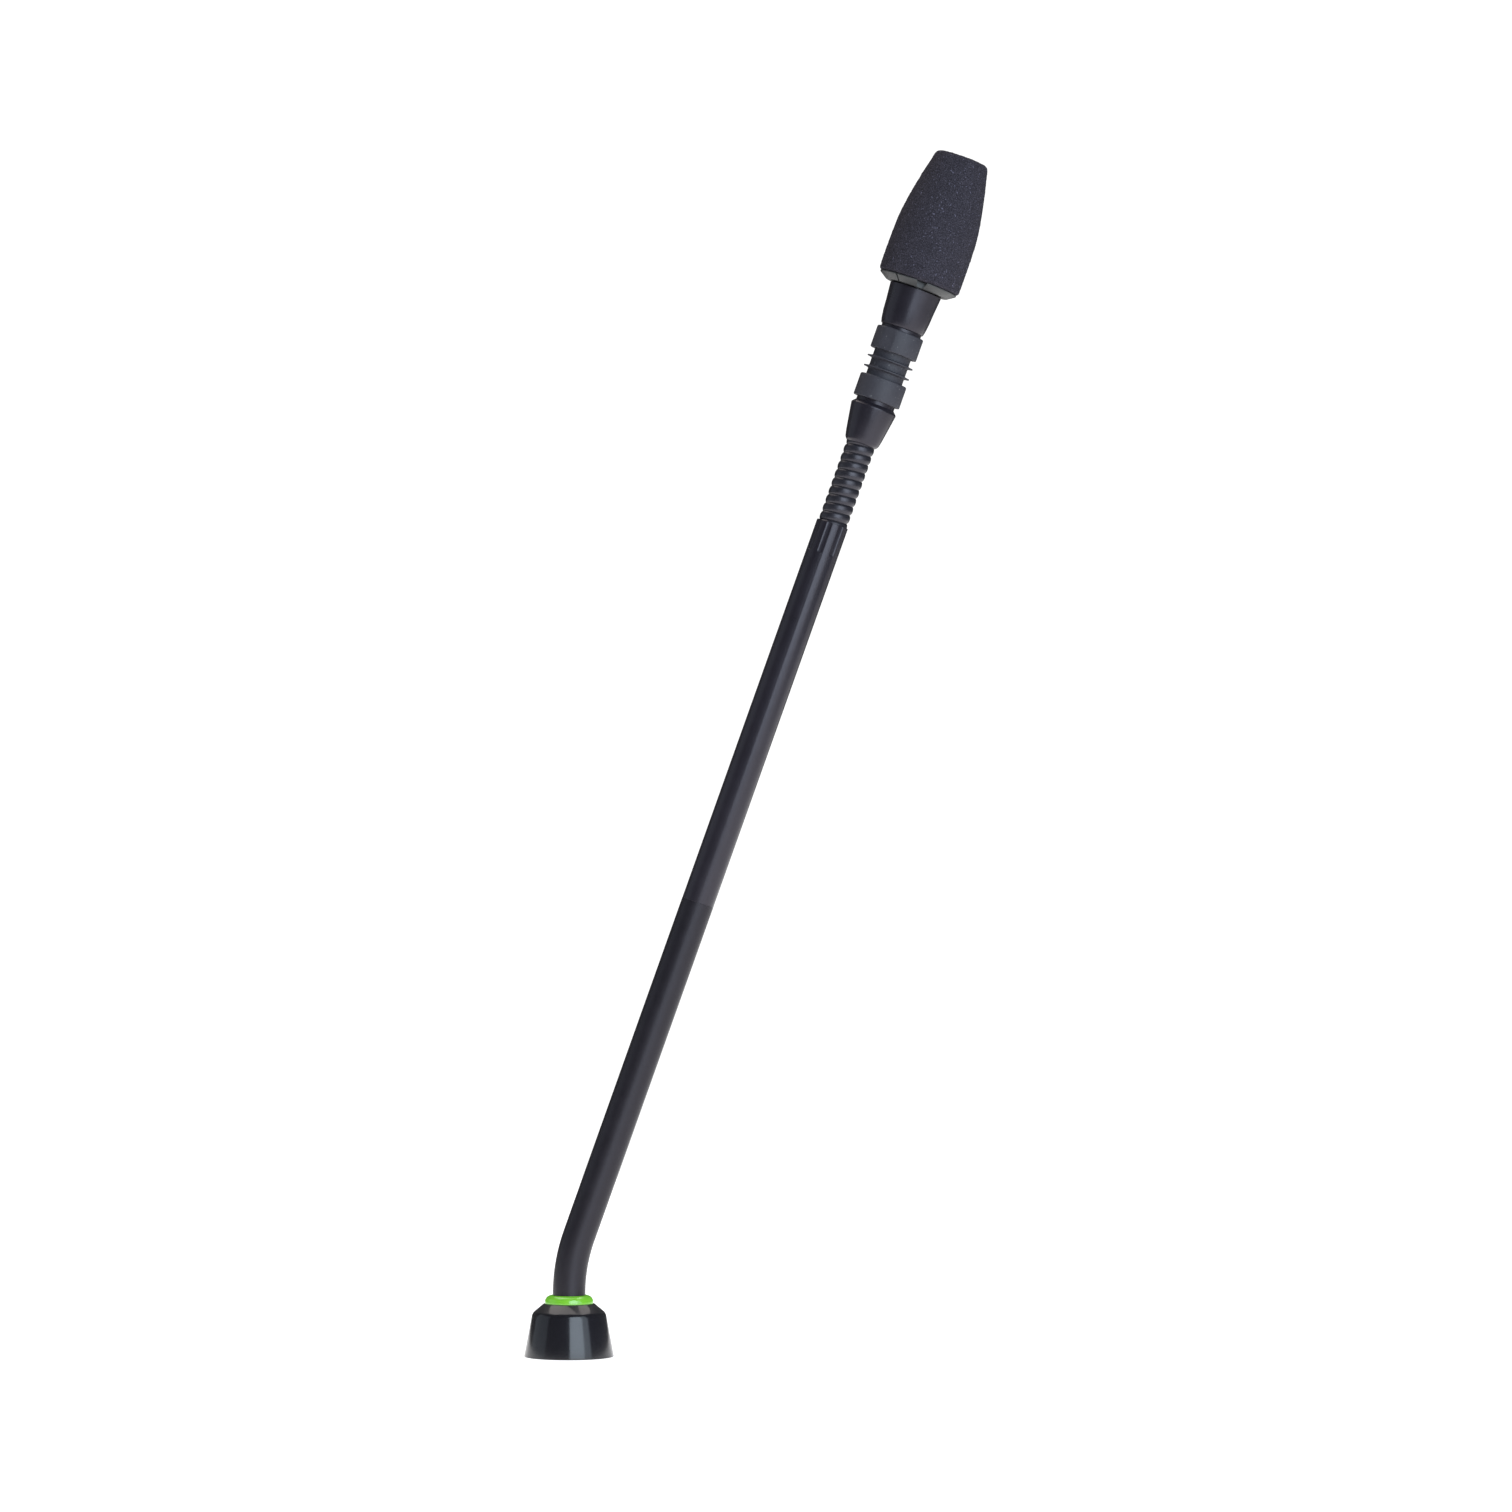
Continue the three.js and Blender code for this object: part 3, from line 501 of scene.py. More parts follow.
def satin_black():
    """Satin black paint with a fine spray grain."""
    satin = Finish("satin black paint", IOR=1.5, Specular_IOR_Level=0.54, Specular_Tint=VIOLET_SHEEN)
    cool = (1.02, 0.92, 1.3)
    tone = satin.place.noise(120, 4)
    satin.drive("Base Color", tone.mix(tone, shade(0.013, cool), shade(0.020, cool)))
    grain = satin.place.noise(6500, 2)
    satin.drive("Roughness", 0.22 + 0.10 * tone + 0.05 * grain)
    satin.bump(grain, 0.008)
    return satin


stem_bottom, stem_top, stem_radius = along("stem_tube")
stem_wall = 0.6
stem = turn("stem_tube_crimped", [
    (stem_radius, stem_bottom),
    (stem_radius, stem_top),
    (stem_radius - stem_wall, stem_top),
    (stem_radius - stem_wall, stem_bottom),
], sides=96)
round_corner(stem, (stem_radius, stem_top), 0.25, 3)
round_corner(stem, (stem_radius, stem_bottom), 0.12, 2)


def block(size, centre):
    """A plain block that cuts away a flat, a slot or a notch, in millimetres."""
    deselect()
    bpy.ops.mesh.primitive_cube_add(size=MM)
    tool = bpy.context.object
    tool.scale = size
    tool.location = Vector(centre) * MM
    bpy.ops.object.transform_apply(location=True, rotation=True, scale=True)
    return tool


flats, first_flat_angle = 8, -100
flat_depth, flat_length, flat_width, flat_end_round = 0.22, 10.0, 2.7, 1.1
jaw_thickness = 2
edge_break, edge_break_angle = 0.05, math.radians(12)
jaw = block((jaw_thickness, flat_width, 2 * flat_length),
            (stem_radius - flat_depth + jaw_thickness / 2, 0, stem_top))
apply_modifier(jaw, "BEVEL", width=flat_end_round * MM, segments=6, limit_method="ANGLE")
cut_away(stem, copies_round(jaw, flats, first_flat_angle))
apply_modifier(stem, "BEVEL", width=edge_break * MM, segments=2, limit_method="ANGLE",
               angle_limit=edge_break_angle)
smooth(stem)
satin = satin_black()
dress(lean(stem), satin, "stem", "satin_black", "stem_tube")


# Upper neck: a short wound neck whose winding shows as one round helical ridge. The winding is made
# whole and then parted into lengths.

winding_radius = along("rib_link_1")[2]
winding_depth = 0.5
winding_pitch = 2.67
ridge_steps, ridge_fullness = 10, 0.55
turns_hidden = 1.5
upper_bottom = stem_top
upper_top = along("head_ferrule")[0]


def winding():
    """A tube with a helical ridge: the outline of one pitch, screwed up the upright axis."""
    deselect()
    bpy.ops.mesh.primitive_plane_add(size=MM)
    tube = bpy.context.object
    tube.name = "neck_winding"
    bpy.ops.object.mode_set(mode="EDIT")
    bpy.ops.mesh.select_all(action="SELECT")
    bpy.ops.mesh.merge(type="CENTER")
    outline = []
    for i in range(ridge_steps + 1):
        share = i / ridge_steps
        hollow = winding_depth * (1 - math.sin(math.pi * i / ridge_steps) ** ridge_fullness)
        outline.append((winding_radius - hollow, winding_pitch * share))
    start = upper_bottom - turns_hidden * winding_pitch
    bpy.ops.transform.translate(value=(outline[0][0] * MM, 0, start * MM))
    for (radius, height), (next_radius, next_height) in zip(outline, outline[1:]):
        step = ((next_radius - radius) * MM, 0, (next_height - height) * MM)
        bpy.ops.mesh.extrude_region_move(TRANSFORM_OT_translate={"value": step})
    bpy.ops.object.mode_set(mode="OBJECT")
    turns = math.ceil((upper_top - upper_bottom) / winding_pitch + 2 * turns_hidden)
    sides = 56
    apply_modifier(tube, "SCREW", axis="Z", screw_offset=winding_pitch * MM, iterations=turns,
                   steps=sides, render_steps=sides, use_merge_vertices=True,
                   merge_threshold=MERGE_DISTANCE)
    make_active(tube)
    bpy.ops.object.mode_set(mode="EDIT")
    bpy.ops.mesh.select_all(action="SELECT")
    bpy.ops.mesh.remove_doubles(threshold=MERGE_DISTANCE)
    bpy.ops.mesh.normals_make_consistent(inside=False)
    bpy.ops.object.mode_set(mode="OBJECT")
    return tube


def part_between(piece, name, low, high):
    """A copy of the upright piece cut off square at two heights, with both ends closed."""
    make_active(piece)
    bpy.ops.object.duplicate()
    length = bpy.context.object
    length.name = name
    bpy.ops.object.mode_set(mode="EDIT")
    for height, keep_above in ((low, True), (high, False)):
        bpy.ops.mesh.select_all(action="SELECT")
        bpy.ops.mesh.bisect(plane_co=(0, 0, height * MM), plane_no=(0, 0, 1), use_fill=True,
                            clear_inner=keep_above, clear_outer=not keep_above)
    bpy.ops.object.mode_set(mode="OBJECT")
    return length


def oxide_black():
    """Blackened wire, with patches that shine a little more than others."""
    oxide = Finish("black winding", IOR=1.5, Specular_IOR_Level=0.62, Specular_Tint=VIOLET_SHEEN)
    cool = (0.97, 0.95, 1.25)
    tone = oxide.place.noise(500, 4)
    oxide.drive("Base Color", tone.mix(tone, shade(0.013, cool), shade(0.026, cool)))
    oxide.drive("Roughness", 0.26 + 0.16 * tone)
    oxide.bump(oxide.place.noise(4000, 3), 0.010)
    return oxide


def axis_point(station):
    """The point of the leaning axis at a station given in millimetres."""
    return crossing + lean_axis * (station * MM)


winding_tube = winding()
winding_finish = oxide_black()
upper_count = sum(name.startswith("upper_bend") for name in joints)
upper_step = (upper_top - upper_bottom) / upper_count
upper_bodies = ["upper_foot"] + [f"upper_{i}" for i in range(1, upper_count)] + ["upper_top"]
inside_stem, inside_ferrule = 1.2, 1.0
for i in range(upper_count):
    low_end = upper_bottom + i * upper_step
    high_end = low_end + upper_step
    first, last = i == 0, i == upper_count - 1
    length = part_between(winding_tube, f"upper_neck_{i + 1}",
                          low_end - inside_stem if first else low_end,
                          high_end + inside_ferrule if last else high_end)
    smooth(length, math.radians(60))
    replaced = [] if last else [f"rib_link_{i + 1}"]
    dress(lean(length), winding_finish, None, "neck_ribs", *replaced)
    axis_point(low_end)
    axis_point(high_end)
    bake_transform(length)
bpy.data.objects.remove(winding_tube)


# Ferrule: a turned metal cone pressed over the end of the upper neck, chamfered at its top down to a
# narrow groove under the rubber.

ferrule_low, ferrule_high, ferrule_radius = along("head_ferrule")
ferrule_bore = 3.2
groove_radius = 5.95
cone_top = ferrule_high - 0.8
groove_top = ferrule_high + 0.4
nose, nose_edge = (4.3, ferrule_low), (5.2, ferrule_low + 0.75)
cone_brim = (ferrule_radius, cone_top - 1.1)
ferrule = turn("head_ferrule_turned", [
    (ferrule_bore, ferrule_low),
    nose,
    nose_edge,
    (5.65, ferrule_low + 2.8),
    (6.15, ferrule_low + 5.8),
    cone_brim,
    (groove_radius, cone_top),
    (groove_radius, groove_top),
    (ferrule_bore, groove_top),
], sides=96)
round_corner(ferrule, nose, 0.4, 3)
round_corner(ferrule, nose_edge, 0.55, 4)
round_corner(ferrule, cone_brim, 0.3, 4)
smooth(ferrule, math.radians(28))
dress(lean(ferrule), satin, "head_base", "satin_black", "head_ferrule")


# Isolator: one moulded rubber piece that keeps knocks on the podium out of the cartridge. Its two
# collars sit on the metal on each side, and its waist has two thin fins.

def rubber_grey():
    """Dull grey rubber with a few specks of dust on it."""
    rubber = Finish("grey isolator rubber", IOR=1.45, Specular_IOR_Level=0.55)
    cool = (1.0, 0.96, 1.2)
    cloud = rubber.place.noise(300, 4)
    specks = rubber.place.noise(1500, 1).spots(0.70, 0.76)
    plain = cloud.mix(cloud, shade(0.036, cool), shade(0.054, cool))
    rubber.drive("Base Color", specks.mix(specks * 0.5, plain, shade(0.22)))
    rubber.drive("Roughness", 0.50 + 0.14 * cloud)
    rubber.bump(rubber.place.noise(3600, 3), 0.02)
    return rubber


rubber = rubber_grey()
collar_bore = 4.0
lower_round, upper_round = 0.27, 0.45
land_depth, land_angle = 0.32, -116


def collar(name, node, body, lands):
    """A collar with rounded rims, and with the given number of flat lands that its mould left."""
    low_rim, high_rim, radius = along(node)
    ring = turn(name, [
        (radius, low_rim), (radius, high_rim), (collar_bore, high_rim), (collar_bore, low_rim),
    ], sides=96)
    round_corner(ring, (radius, low_rim), lower_round, 3)
    round_corner(ring, (radius, high_rim), upper_round, 4)
    if lands:
        mould = block((2, 2 * radius, 2 * (high_rim - low_rim)),
                      (radius + 1 - land_depth, 0, (low_rim + high_rim) / 2))
        cut_away(ring, copies_round(mould, lands, land_angle))
    smooth(ring, math.radians(25))
    dress(lean(ring), rubber, body, "isolator_rubber", node)


collar("isolator_lower_rubber", "isolator_lower_collar", "head_base", 0)
collar("isolator_upper_rubber", "isolator_upper_collar", "cartridge", 2)

waist_low = along("isolator_lower_collar")[1]
waist_high = along("isolator_upper_collar")[0]
waist_middle = (waist_low + waist_high) / 2
waist_bore, waist_radius = 3.2, 5.7
fin_radius = 7.15
fin_root, fin_tip = 0.55, 0.14
fin_foot_radius = waist_radius + 0.35
fin_foot = fin_root * 0.55


def waist_half(name, low_end, high_end, fin, bodies, *replaced):
    """Half of the waist, with its fin at a given station and extra rings along its length."""
    half = turn(name, [
        (waist_radius, low_end),
        (waist_radius, (low_end + fin - fin_root) / 2),
        (waist_radius, fin - fin_root),
        (fin_foot_radius, fin - fin_foot),
        (fin_radius, fin - fin_tip),
        (fin_radius, fin + fin_tip),
        (fin_foot_radius, fin + fin_foot),
        (waist_radius, fin + fin_root),
        (waist_radius, (high_end + fin + fin_root) / 2),
        (waist_radius, high_end),
        (waist_bore, high_end),
        (waist_bore, low_end),
    ], sides=96)
    smooth(half, math.radians(30))
    dress(lean(half), rubber, None, "isolator_rubber", *replaced)
    axis_point(low_end)
    axis_point(high_end)
    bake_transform(half)


lower_fin, upper_fin = waist_low + 2.4, waist_high - 2.6
waist_half("isolator_waist_lower", waist_low, waist_middle, lower_fin, ("head_base", "isolator"),
           "isolator_waist")
waist_half("isolator_waist_upper", waist_middle, waist_high, upper_fin, ("isolator", "cartridge"))


# Cartridge housing: a turned metal cup in satin black, widening upwards, that the cartridge barrel is
# screwed into. A narrow groove parts it from the rubber.

cup_low, cup_high, cup_radius = along("cartridge_housing")
cup_foot = cup_low + 0.75
cup_groove_radius, cup_groove_foot = groove_radius + 0.25, cup_low - 0.3
foot_edge, flank_edge = (6.6, cup_foot), (6.95, cup_foot + 1.3)
thread_radius, thread_foot = 6.3, cup_high - 6.7
cable_hole = 3.0
cup = turn("cartridge_housing_turned", [
    (cup_groove_radius, cup_groove_foot),
    (cup_groove_radius, cup_foot - 0.15),
    foot_edge,
    flank_edge,
    (7.3, cup_foot + 4.0),
    (7.5, cup_foot + 7.0),
    (cup_radius, cup_high - 0.15),
    (cup_radius - 0.2, cup_high),
    (thread_radius, cup_high),
    (thread_radius, thread_foot),
    (cable_hole, thread_foot),
    (cable_hole, cup_groove_foot),
], sides=96)
round_corner(cup, foot_edge, 0.2, 3)
round_corner(cup, flank_edge, 0.6, 4)
smooth(cup, math.radians(28))
dress(lean(cup), satin, "cartridge", "satin_black", "cartridge_housing")


# Cartridge barrel: a thin metal tube round the capsule, slotted at the height of its back, with a finely
# pierced grille over its mouth. It shows when the windscreen is pulled off.

barrel_low, barrel_high, barrel_radius = along("cartridge_barrel")
barrel_wall = 0.6
barrel = turn("cartridge_barrel_slotted", [
    (barrel_radius, barrel_low),
    (barrel_radius, barrel_high),
    (barrel_radius - barrel_wall, barrel_high),
    (barrel_radius - barrel_wall, barrel_low),
], sides=96)
round_corner(barrel, (barrel_radius, barrel_high), 0.2, 3)
slots, slot_width, slot_height, slot_end_round = 6, 1.6, 7.0, 0.7
slot_middle = barrel_high - slot_height * 0.75 - 1.5
slot_mill = block((4 * barrel_wall, slot_width, slot_height), (barrel_radius, 0, slot_middle))
apply_modifier(slot_mill, "BEVEL", width=slot_end_round * MM, segments=5, limit_method="ANGLE")
cut_away(barrel, copies_round(slot_mill, slots))
tool_path, tool_tip = barrel_radius + 0.06, 0.16
for turned_groove in (barrel_low + 8.5, barrel_low + 9.6):
    deselect()
    bpy.ops.mesh.primitive_torus_add(location=(0, 0, turned_groove * MM), major_radius=tool_path * MM,
                                     minor_radius=tool_tip * MM, major_segments=96, minor_segments=10)
    cut_away(barrel, bpy.context.object)
smooth(barrel)
dress(lean(barrel), satin, "cartridge", "satin_black", "cartridge_barrel")


def pierced_steel():
    """Black-nickelled sheet with a close pattern of small round holes, painted near-black as painted
    shade.
    """
    sheet = Finish("pierced black nickel", Metallic=1.0)
    holes = sheet.place.node("ShaderNodeTexVoronoi", {"feature": "F1"},
                             {"Vector": sheet.place, "Scale": 1500.0, "Randomness": 0.0})
    metal = holes.spots(0.30, 0.42)
    # Painted shade: the holes are painted near-black for the dark seen through them.
    sheet.drive("Base Color", metal.mix(metal, shade(0.004), shade(0.16)))
    sheet.drive("Roughness", 0.7 - 0.35 * metal)
    sheet.bump(metal, 0.08)
    return sheet


grille_low, grille_high, grille_radius = along("capsule_grille")
grille_edge = (grille_radius, grille_high - 0.2)
grille_face_radius = grille_radius - 0.8
grille = turn("capsule_grille_pierced", [
    (0, grille_low), (grille_radius, grille_low), grille_edge, (grille_face_radius, grille_high),
    (0, grille_high),
], sides=96)
round_corner(grille, grille_edge, 0.15, 3)
smooth(grille)
dress(lean(grille), pierced_steel(), "cartridge", "steel", "capsule_grille")


# Windscreen clip: a moulded grey plastic ring under the foam. Its face slopes down and inwards, wide
# notches and narrow slits part it into segments, and its sleeve grips the barrel.

clip_low, clip_sleeve_top, clip_radius = along("windscreen_clip")
foam_low, foam_high, _ = along("windscreen_foam")
sleeve_bore, sleeve_outer = 6.6, 7.4
clip_top = foam_low - 0.3
clip_height = clip_top - clip_low
clip_foot, clip_rim_radius = (9.6, clip_low), 12.0
clip_rim = (clip_rim_radius, clip_top - 0.3)
clip = turn("windscreen_clip_moulded", [
    (sleeve_bore, clip_low),
    clip_foot,
    clip_rim,
    (clip_rim_radius, clip_top),
    (sleeve_outer, clip_top),
    (sleeve_outer, clip_sleeve_top),
    (sleeve_bore, clip_sleeve_top),
], sides=120)
round_corner(clip, clip_foot, 0.2, 3)
round_corner(clip, clip_rim, 0.12, 2)


def notch_tool(width, flare):
    """A cutter for one notch through the ring, wider at its top by the flare's share of its width."""
    tool = block((4.4, width, clip_height + 1), (clip_radius - 0.8, 0, clip_low + clip_height / 2))
    if flare:
        make_active(tool)
        bpy.ops.object.mode_set(mode="EDIT")
        bpy.ops.mesh.select_all(action="DESELECT")
        bpy.ops.object.mode_set(mode="OBJECT")
        for vertex in tool.data.vertices:
            vertex.select = vertex.co.z > clip_top * MM
        bpy.ops.object.mode_set(mode="EDIT")
        bpy.ops.transform.resize(value=(1, 1 + flare, 1))
        bpy.ops.object.mode_set(mode="OBJECT")
    return tool


clip_segments = 3
notch_width, notch_flare, notch_angle = 1.3, 1.9, -85
slit_width, slit_angle = 0.55, -126
moulded_round = 0.06
cut_away(clip, copies_round(notch_tool(notch_width, notch_flare), clip_segments, notch_angle))
cut_away(clip, copies_round(notch_tool(slit_width, 0), clip_segments, slit_angle))
apply_modifier(clip, "BEVEL", width=moulded_round * MM, segments=2, limit_method="ANGLE")
smooth(clip, math.radians(30))


def moulded_grey():
    """Dark grey plastic with a faintly matted mould finish."""
    plastic = Finish("moulded grey plastic", IOR=1.5)
    tone = plastic.place.noise(350, 3)
    plastic.drive("Base Color", tone.mix(tone, shade(0.040), shade(0.056)))
    plastic.drive("Roughness", 0.36 + 0.14 * tone)
    plastic.bump(plastic.place.noise(3000, 3), 0.012)
    return plastic


dress(lean(clip), moulded_grey(), "windscreen", "clip_grey", "windscreen_clip")


# Foam windscreen: a bulb of open-cell foam with a blind bore, slid over the barrel and glued to the
# clip. Its skin is a dense mesh pushed in and out by the foam's cells.

bulb_outline = [
    (12.35, 0.0), (12.62, 0.015), (12.68, 0.07), (12.68, 0.20), (12.62, 0.30), (12.48, 0.41),
    (12.17, 0.49), (11.72, 0.57), (11.15, 0.65), (10.60, 0.72), (10.08, 0.785), (9.55, 0.84),
    (9.05, 0.895), (8.68, 0.935), (8.42, 0.966), (8.02, 0.987), (7.2, 1.0),
]
glued_face, glued_radius = foam_low - 0.2, 11.8
bulb_foot = foam_low + 0.12
bulb = [(radius, bulb_foot + share * (foam_high - bulb_foot)) for radius, share in bulb_outline]
sleeve_seat_radius, sleeve_seat_top = sleeve_outer + 0.2, clip_sleeve_top + 0.3
bore_radius, bore_end = 6.6, foam_high - 12.6
skin_voxel = 0.3
foam = turn("windscreen_foam_skin", [
    (sleeve_seat_radius, glued_face),
    (glued_radius, glued_face),
] + bulb + [
    (0, foam_high),
    (0, bore_end),
    (bore_radius, bore_end),
    (bore_radius, sleeve_seat_top),
    (sleeve_seat_radius, sleeve_seat_top),
], sides=72)
apply_modifier(foam, "REMESH", mode="VOXEL", voxel_size=skin_voxel * MM, adaptivity=0.0)


def push_cells(piece, cell, depth, seed):
    """Moves the skin in and out by the depth, in lumps of the cell's size, both in millimetres."""
    pattern = bpy.data.textures.new(f"cells_{seed}", "CLOUDS")
    pattern.noise_scale = cell * MM
    pattern.noise_depth = 1
    pattern.noise_basis = "ORIGINAL_PERLIN"
    apply_modifier(piece, "DISPLACE", texture=pattern, texture_coords="LOCAL", strength=depth * MM,
                   mid_level=0.62)
    bpy.data.textures.remove(pattern)


push_cells(foam, 1.6, 0.22, 1)
push_cells(foam, 0.5, 0.24, 2)
smooth(foam, math.radians(180))


def open_cells():
    """Charcoal foam: pale strands round dark cells, and painted highlights on a few strands."""
    cells = Finish("charcoal open-cell foam", IOR=1.4, Specular_IOR_Level=0.3)
    violet = (1.0, 0.90, 1.18)
    fine = cells.place.noise(3600, 2)
    cloud = cells.place.noise(260, 3)
    strand = fine.spots(0.38, 0.72)
    skin = strand.mix(strand * (0.6 + 0.8 * cloud), shade(0.022, violet), shade(0.080, violet))
    # Painted highlights: a few specks of the colour are lifted to pale violet, as if strands caught the
    # light.
    painted_glints = cells.place.noise(1900, 1).spots(0.68, 0.74)
    cells.drive("Base Color", painted_glints.mix(painted_glints * 0.7, skin, (0.20, 0.19, 0.27, 1)))
    cells.drive("Roughness", 0.95 - 0.2 * strand)
    cells.bump(strand, 0.14)
    return cells


dress(lean(foam), open_cells(), "windscreen", "foam", "windscreen_foam")


# Cable: a thin screened cable from the board in the base to the capsule's board, inside both necks and
# the stem. Inside each neck it is made in the same lengths as the neck.

cable_radius = 1.1
cable_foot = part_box("mic_cable")[0].z - neck_start.z
cable_head = along("mic_cable")[1]
cable_sides = 20


def cable_jacket():
    """The cable's soft grey plastic jacket."""
    jacket = Finish("grey cable jacket", IOR=1.48)
    tone = jacket.place.noise(400, 3)
    jacket.drive("Base Color", tone.mix(tone, shade(0.05), shade(0.075)))
    jacket.drive("Roughness", 0.42 + 0.15 * tone)
    jacket.bump(jacket.place.noise(2600, 2), 0.01)
    return jacket


jacket = cable_jacket()


def straight_cable(name, low, high, rings=6):
    """A stretch of the cable on the leaning axis, between two stations."""
    skin = [(cable_radius, low + (high - low) * i / rings) for i in range(rings + 1)]
    return lean(turn(name, [(0, low)] + skin + [(0, high)], sides=cable_sides))


foot_cable = neck_stretch("cable_foot", cable_foot, 0, cable_radius * MM, 4, cable_sides)
smooth(foot_cable)
dress(foot_cable, jacket, "neck_foot", "satin_black", "mic_cable")
for i in range(bend_count):
    start, end = i * neck_step, (i + 1) * neck_step
    stretch = neck_stretch(f"cable_lower_{i + 1}", start, end, cable_radius * MM, 8, cable_sides)
    smooth(stretch)
    dress(stretch, jacket, None, "satin_black", "mic_cable")
    neck_point(start)
    neck_point(end)
    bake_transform(stretch)

end_gap = 0.35
cable_lengths = [
    ("cable_stem", stem_bottom, upper_bottom - end_gap, "stem"),
    ("cable_ferrule", upper_top + end_gap, waist_low, "head_base"),
    ("cable_head", waist_high, cable_head, "cartridge"),
]
for name, low_end, high_end, body in cable_lengths:
    stretch = straight_cable(name, low_end, high_end)
    smooth(stretch)
    dress(stretch, jacket, body, "satin_black", "mic_cable")

cable_bends = []
for i in range(upper_count):
    bent = upper_bodies[i], upper_bodies[i + 1]
    cable_bends.append((f"cable_upper_{i + 1}", upper_bottom + i * upper_step, upper_step, *bent))
waist_step = waist_middle - waist_low
cable_bends += [
    ("cable_waist_lower", waist_low, waist_step, "head_base", "isolator"),
    ("cable_waist_upper", waist_middle, waist_step, "isolator", "cartridge"),
]
for name, low_end, length, below, above in cable_bends:
    stretch = straight_cable(name, low_end, low_end + length)
    smooth(stretch)
    dress(stretch, jacket, None, "satin_black", "mic_cable")
    axis_point(low_end)
    axis_point(low_end + length)
    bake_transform(stretch)


# Small parts that keep the frame's shape: brass and steel fittings and fixings, the boards with what is
# soldered to them, and the capsule. Each only gets its finish here.

def worn_metal(name, dark, light, roughness, grain_depth=0.008):
    """Bare metal with faint turning marks and a patchy polish."""
    metal = Finish(name, Metallic=1.0)
    patch = metal.place.noise(500, 4)
    metal.drive("Base Color", patch.mix(patch, dark, light))
    metal.drive("Roughness", (roughness - 0.06) + 0.14 * patch)
    metal.bump(metal.place.noise(3800, 2), grain_depth)
    return metal


def moulded(name, dark, light, roughness):
    """Plastic, solder mask or fired ceramic with faint mottling."""
    plastic = Finish(name, IOR=1.5)
    patch = plastic.place.noise(900, 3)
    plastic.drive("Base Color", patch.mix(patch, dark, light))
    plastic.drive("Roughness", (roughness - 0.05) + 0.12 * patch)
    plastic.bump(plastic.place.noise(4200, 2), 0.006)
    return plastic


def glowing_led():
    """A clear lamp body, lit from inside."""
    led = Finish("lit led", Roughness=0.3, Emission_Strength=3.0)
    patch = led.place.noise(1500, 2)
    led.drive("Base Color", patch.mix(patch, (0.5, 0.75, 0.3, 1), (0.7, 0.9, 0.5, 1)))
    led.drive("Emission Color", patch.mix(patch, (0.2, 0.8, 0.05, 1), (0.3, 0.95, 0.1, 1)))
    return led


def diaphragm_film():
    """Thin plastic film with a sputtered coat of gold."""
    film = Finish("gold-sputtered film", Metallic=1.0)
    patch = film.place.noise(700, 3)
    film.drive("Base Color", patch.mix(patch, (0.62, 0.43, 0.16, 1), (0.78, 0.58, 0.26, 1)))
    film.drive("Roughness", 0.18 + 0.12 * patch)
    return film


def refinish(finish, *nodes):
    """Gives parts of the frame that are kept as they are a finished material."""
    for node in nodes:
        for material_slot in frame["nodes"][node].material_slots:
            material_slot.material = finish.material


turned_brass = worn_metal("turned brass", (0.42, 0.29, 0.10, 1), (0.60, 0.44, 0.18, 1), 0.28)
turned_steel = worn_metal("zinc-plated steel", (0.36, 0.36, 0.38, 1), (0.56, 0.56, 0.58, 1), 0.32)
drawn_aluminium = worn_metal("drawn aluminium", (0.52, 0.53, 0.55, 1), (0.70, 0.71, 0.73, 1), 0.36)
board_mask = moulded("green solder mask", (0.010, 0.080, 0.030, 1), (0.020, 0.130, 0.050, 1), 0.40)
chip_epoxy = moulded("black moulding epoxy", shade(0.012), shade(0.022), 0.55)
refinish(satin, "base_plate")
refinish(turned_brass, "neck_socket", "mounting_insert_1", "mounting_insert_2", "neck_plug", "tube_plug",
         "upper_plug", "ferrule_plug", "capsule_backplate")
refinish(turned_steel, "plate_screw_1", "plate_screw_2", "plate_screw_3", "guide_screw_1",
         "guide_screw_2", "output_socket", "socket_pin_1", "socket_pin_2", "socket_pin_3")
refinish(drawn_aluminium, "capsule_can", "coupling_capacitor_1", "coupling_capacitor_2")
refinish(board_mask, "preamp_board", "led_board", "capsule_board")
refinish(chip_epoxy, "preamp_chip")
refinish(glowing_led(), "led_1", "led_2", "led_3", "led_4")
refinish(diaphragm_film(), "capsule_diaphragm")


# Studio: a plain pale floor under a white room, both bright enough to read as white. The room lights the
# object little. A tall soft box with a wing at the right, a weak one at the left and one overhead do.

def pale_floor():
    """A plain pale floor that is lit as brightly as the room behind it."""
    paint = Finish("pale floor", Roughness=0.8, Emission_Strength=0.8)
    tone = paint.place.noise(0.6, 1)
    paint.drive("Base Color", tone.mix(tone, shade(0.80), shade(0.84)))
    paint.drive("Emission Color", tone.mix(tone, shade(0.97), shade(1.0)))
    return paint


deselect()
floor_size = 1.7
bpy.ops.mesh.primitive_plane_add(size=floor_size)
floor = bpy.context.object
floor.name = "studio_floor"
floor.data.materials.append(pale_floor().material)

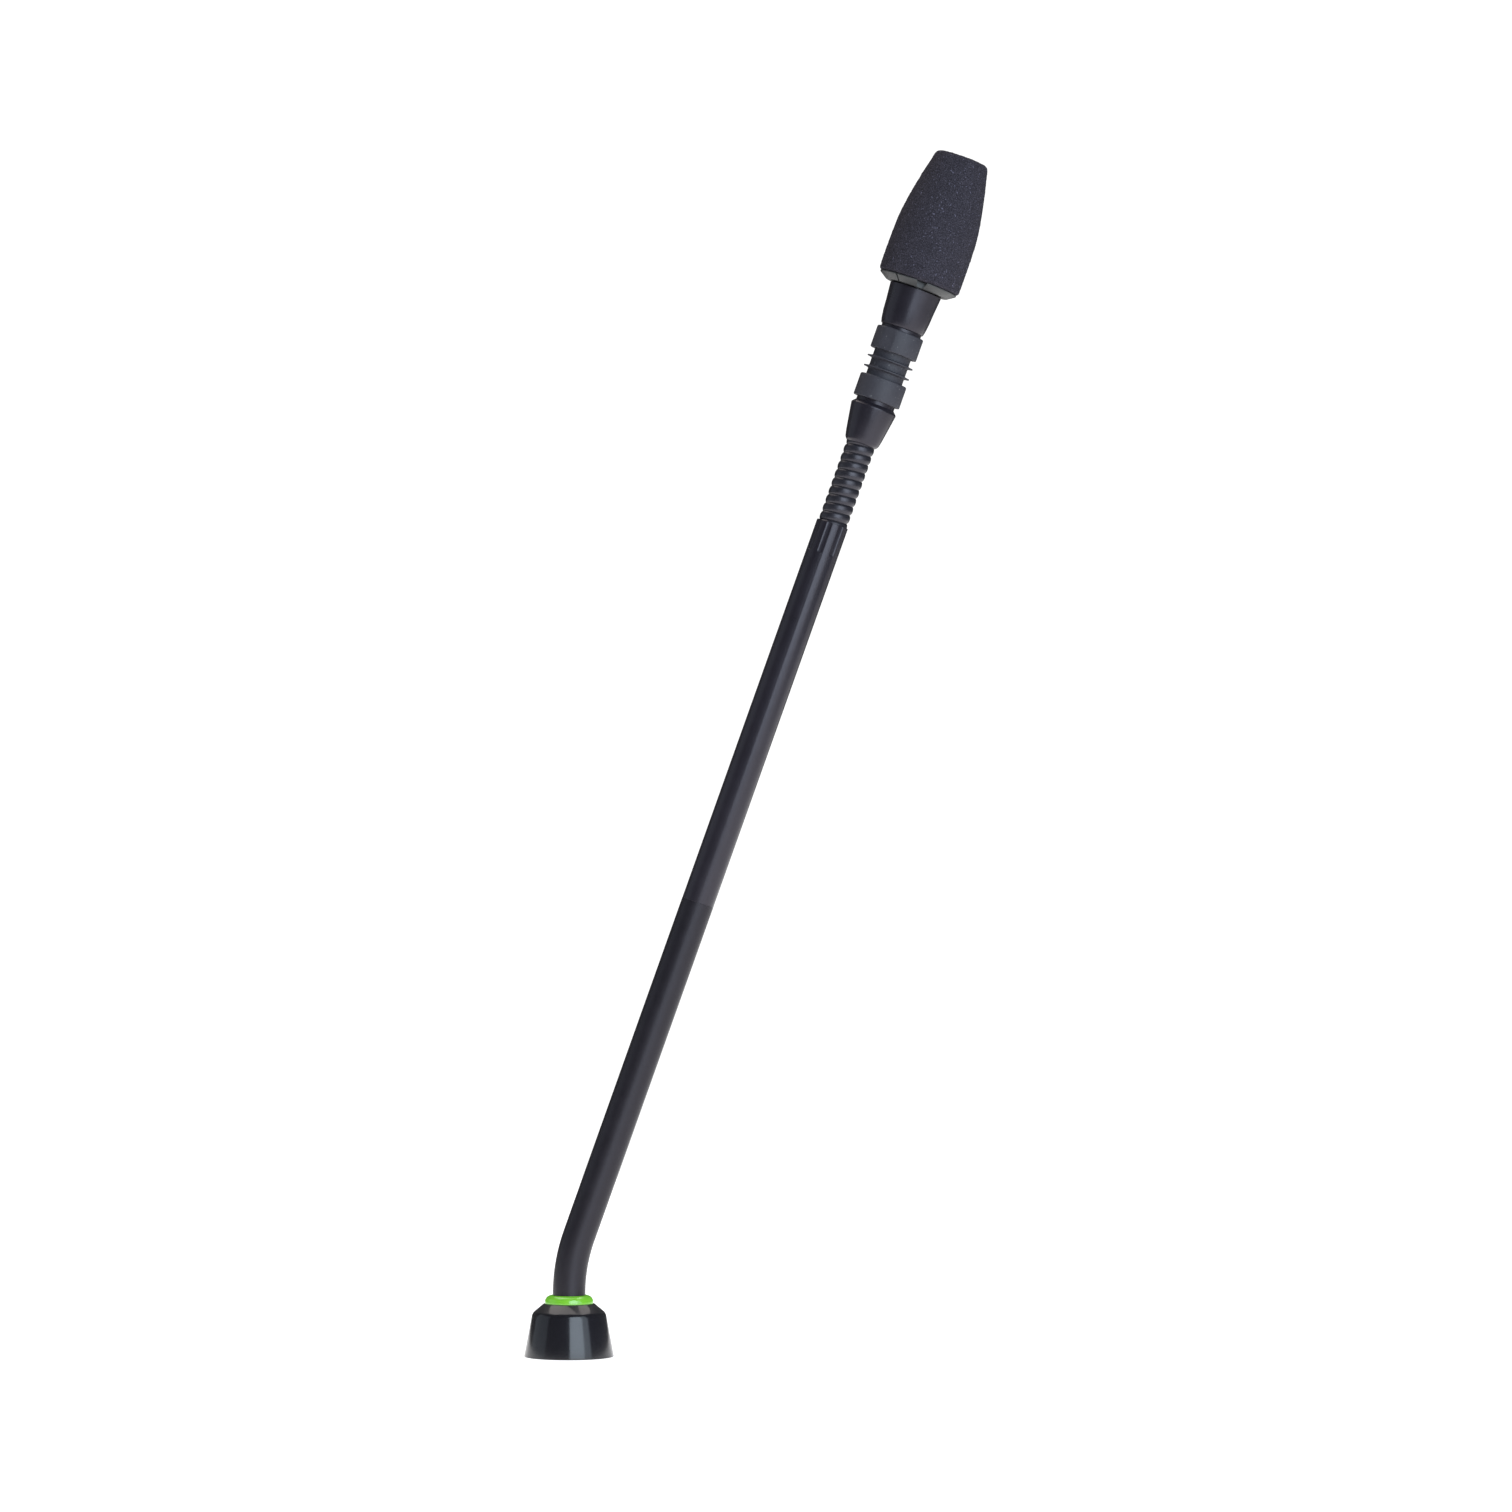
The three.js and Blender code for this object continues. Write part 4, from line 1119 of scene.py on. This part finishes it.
world = bpy.data.worlds.new("studio")
bpy.context.scene.world = world
world.use_nodes = True
seen_by_camera = Wire(world.node_tree).node("ShaderNodeLightPath")
behind, around = 1.1, 0.07
strength = around + (behind - around) * seen_by_camera
background = world.node_tree.nodes["Background"]
background.inputs["Color"].default_value = (1, 1, 1, 1)
world.node_tree.links.new(strength.socket, background.inputs["Strength"])


COOL_LAMP, WARM_LAMP = (0.74, 0.87, 1.0), (1.0, 0.93, 0.90)


def soft_box(name, place, aim, width, tall, radiance, colour=COOL_LAMP):
    """A rectangular area light at one point, turned towards another and out of the camera's sight."""
    deselect()
    bpy.ops.object.light_add(type="AREA", location=place)
    lamp = bpy.context.object
    lamp.name = name
    lamp.rotation_euler = (Vector(aim) - Vector(place)).to_track_quat("-Z", "Y").to_euler()
    lamp.data.shape = "RECTANGLE"
    lamp.data.size, lamp.data.size_y = width, tall
    lamp.data.energy = radiance * math.pi * width * tall
    lamp.data.color = colour
    lamp.visible_camera = False


def round_the_camera(azimuth, distance, height):
    """A point at an azimuth counted from the camera towards the right."""
    turned = math.radians(azimuth)
    return distance * math.sin(turned), -distance * math.cos(turned), height


key_height, key_tall, key_distance = 0.85, 1.7, 1.6
key_aim = (0, 0, key_height)
fill_height = 0.7
overhead, overhead_back = 1.7, 0.55
soft_box("key_box", round_the_camera(23, key_distance, key_height), key_aim, 1.13, key_tall, 3.8)
soft_box("key_wing", round_the_camera(52, key_distance, key_height), key_aim, 0.56, key_tall, 1.5)
soft_box("fill_box", round_the_camera(-92, 1.8, fill_height), (0, 0, fill_height), 1.8, 1.4, 0.35)
soft_box("top_box", (0, overhead_back, overhead), (0, overhead_back, 0), 2.0, 1.5, 2.1, WARM_LAMP)

low, high = cad_bounds
middle = (low.x + high.x) / 2
camera_height = high.z / 2 - 0.0009
camera_distance, frame_width = 2.0, 0.4536
sensor_width = 36
bpy.ops.object.camera_add(location=(middle, -camera_distance, camera_height),
                          rotation=(math.pi / 2, 0, 0))
camera = bpy.context.object
camera.name = "front_camera"
camera.data.sensor_width = sensor_width
camera.data.lens = sensor_width * camera_distance / frame_width
camera.data.clip_end = 50
bpy.context.scene.camera = camera
bpy.context.scene.view_settings.view_transform = "Standard"
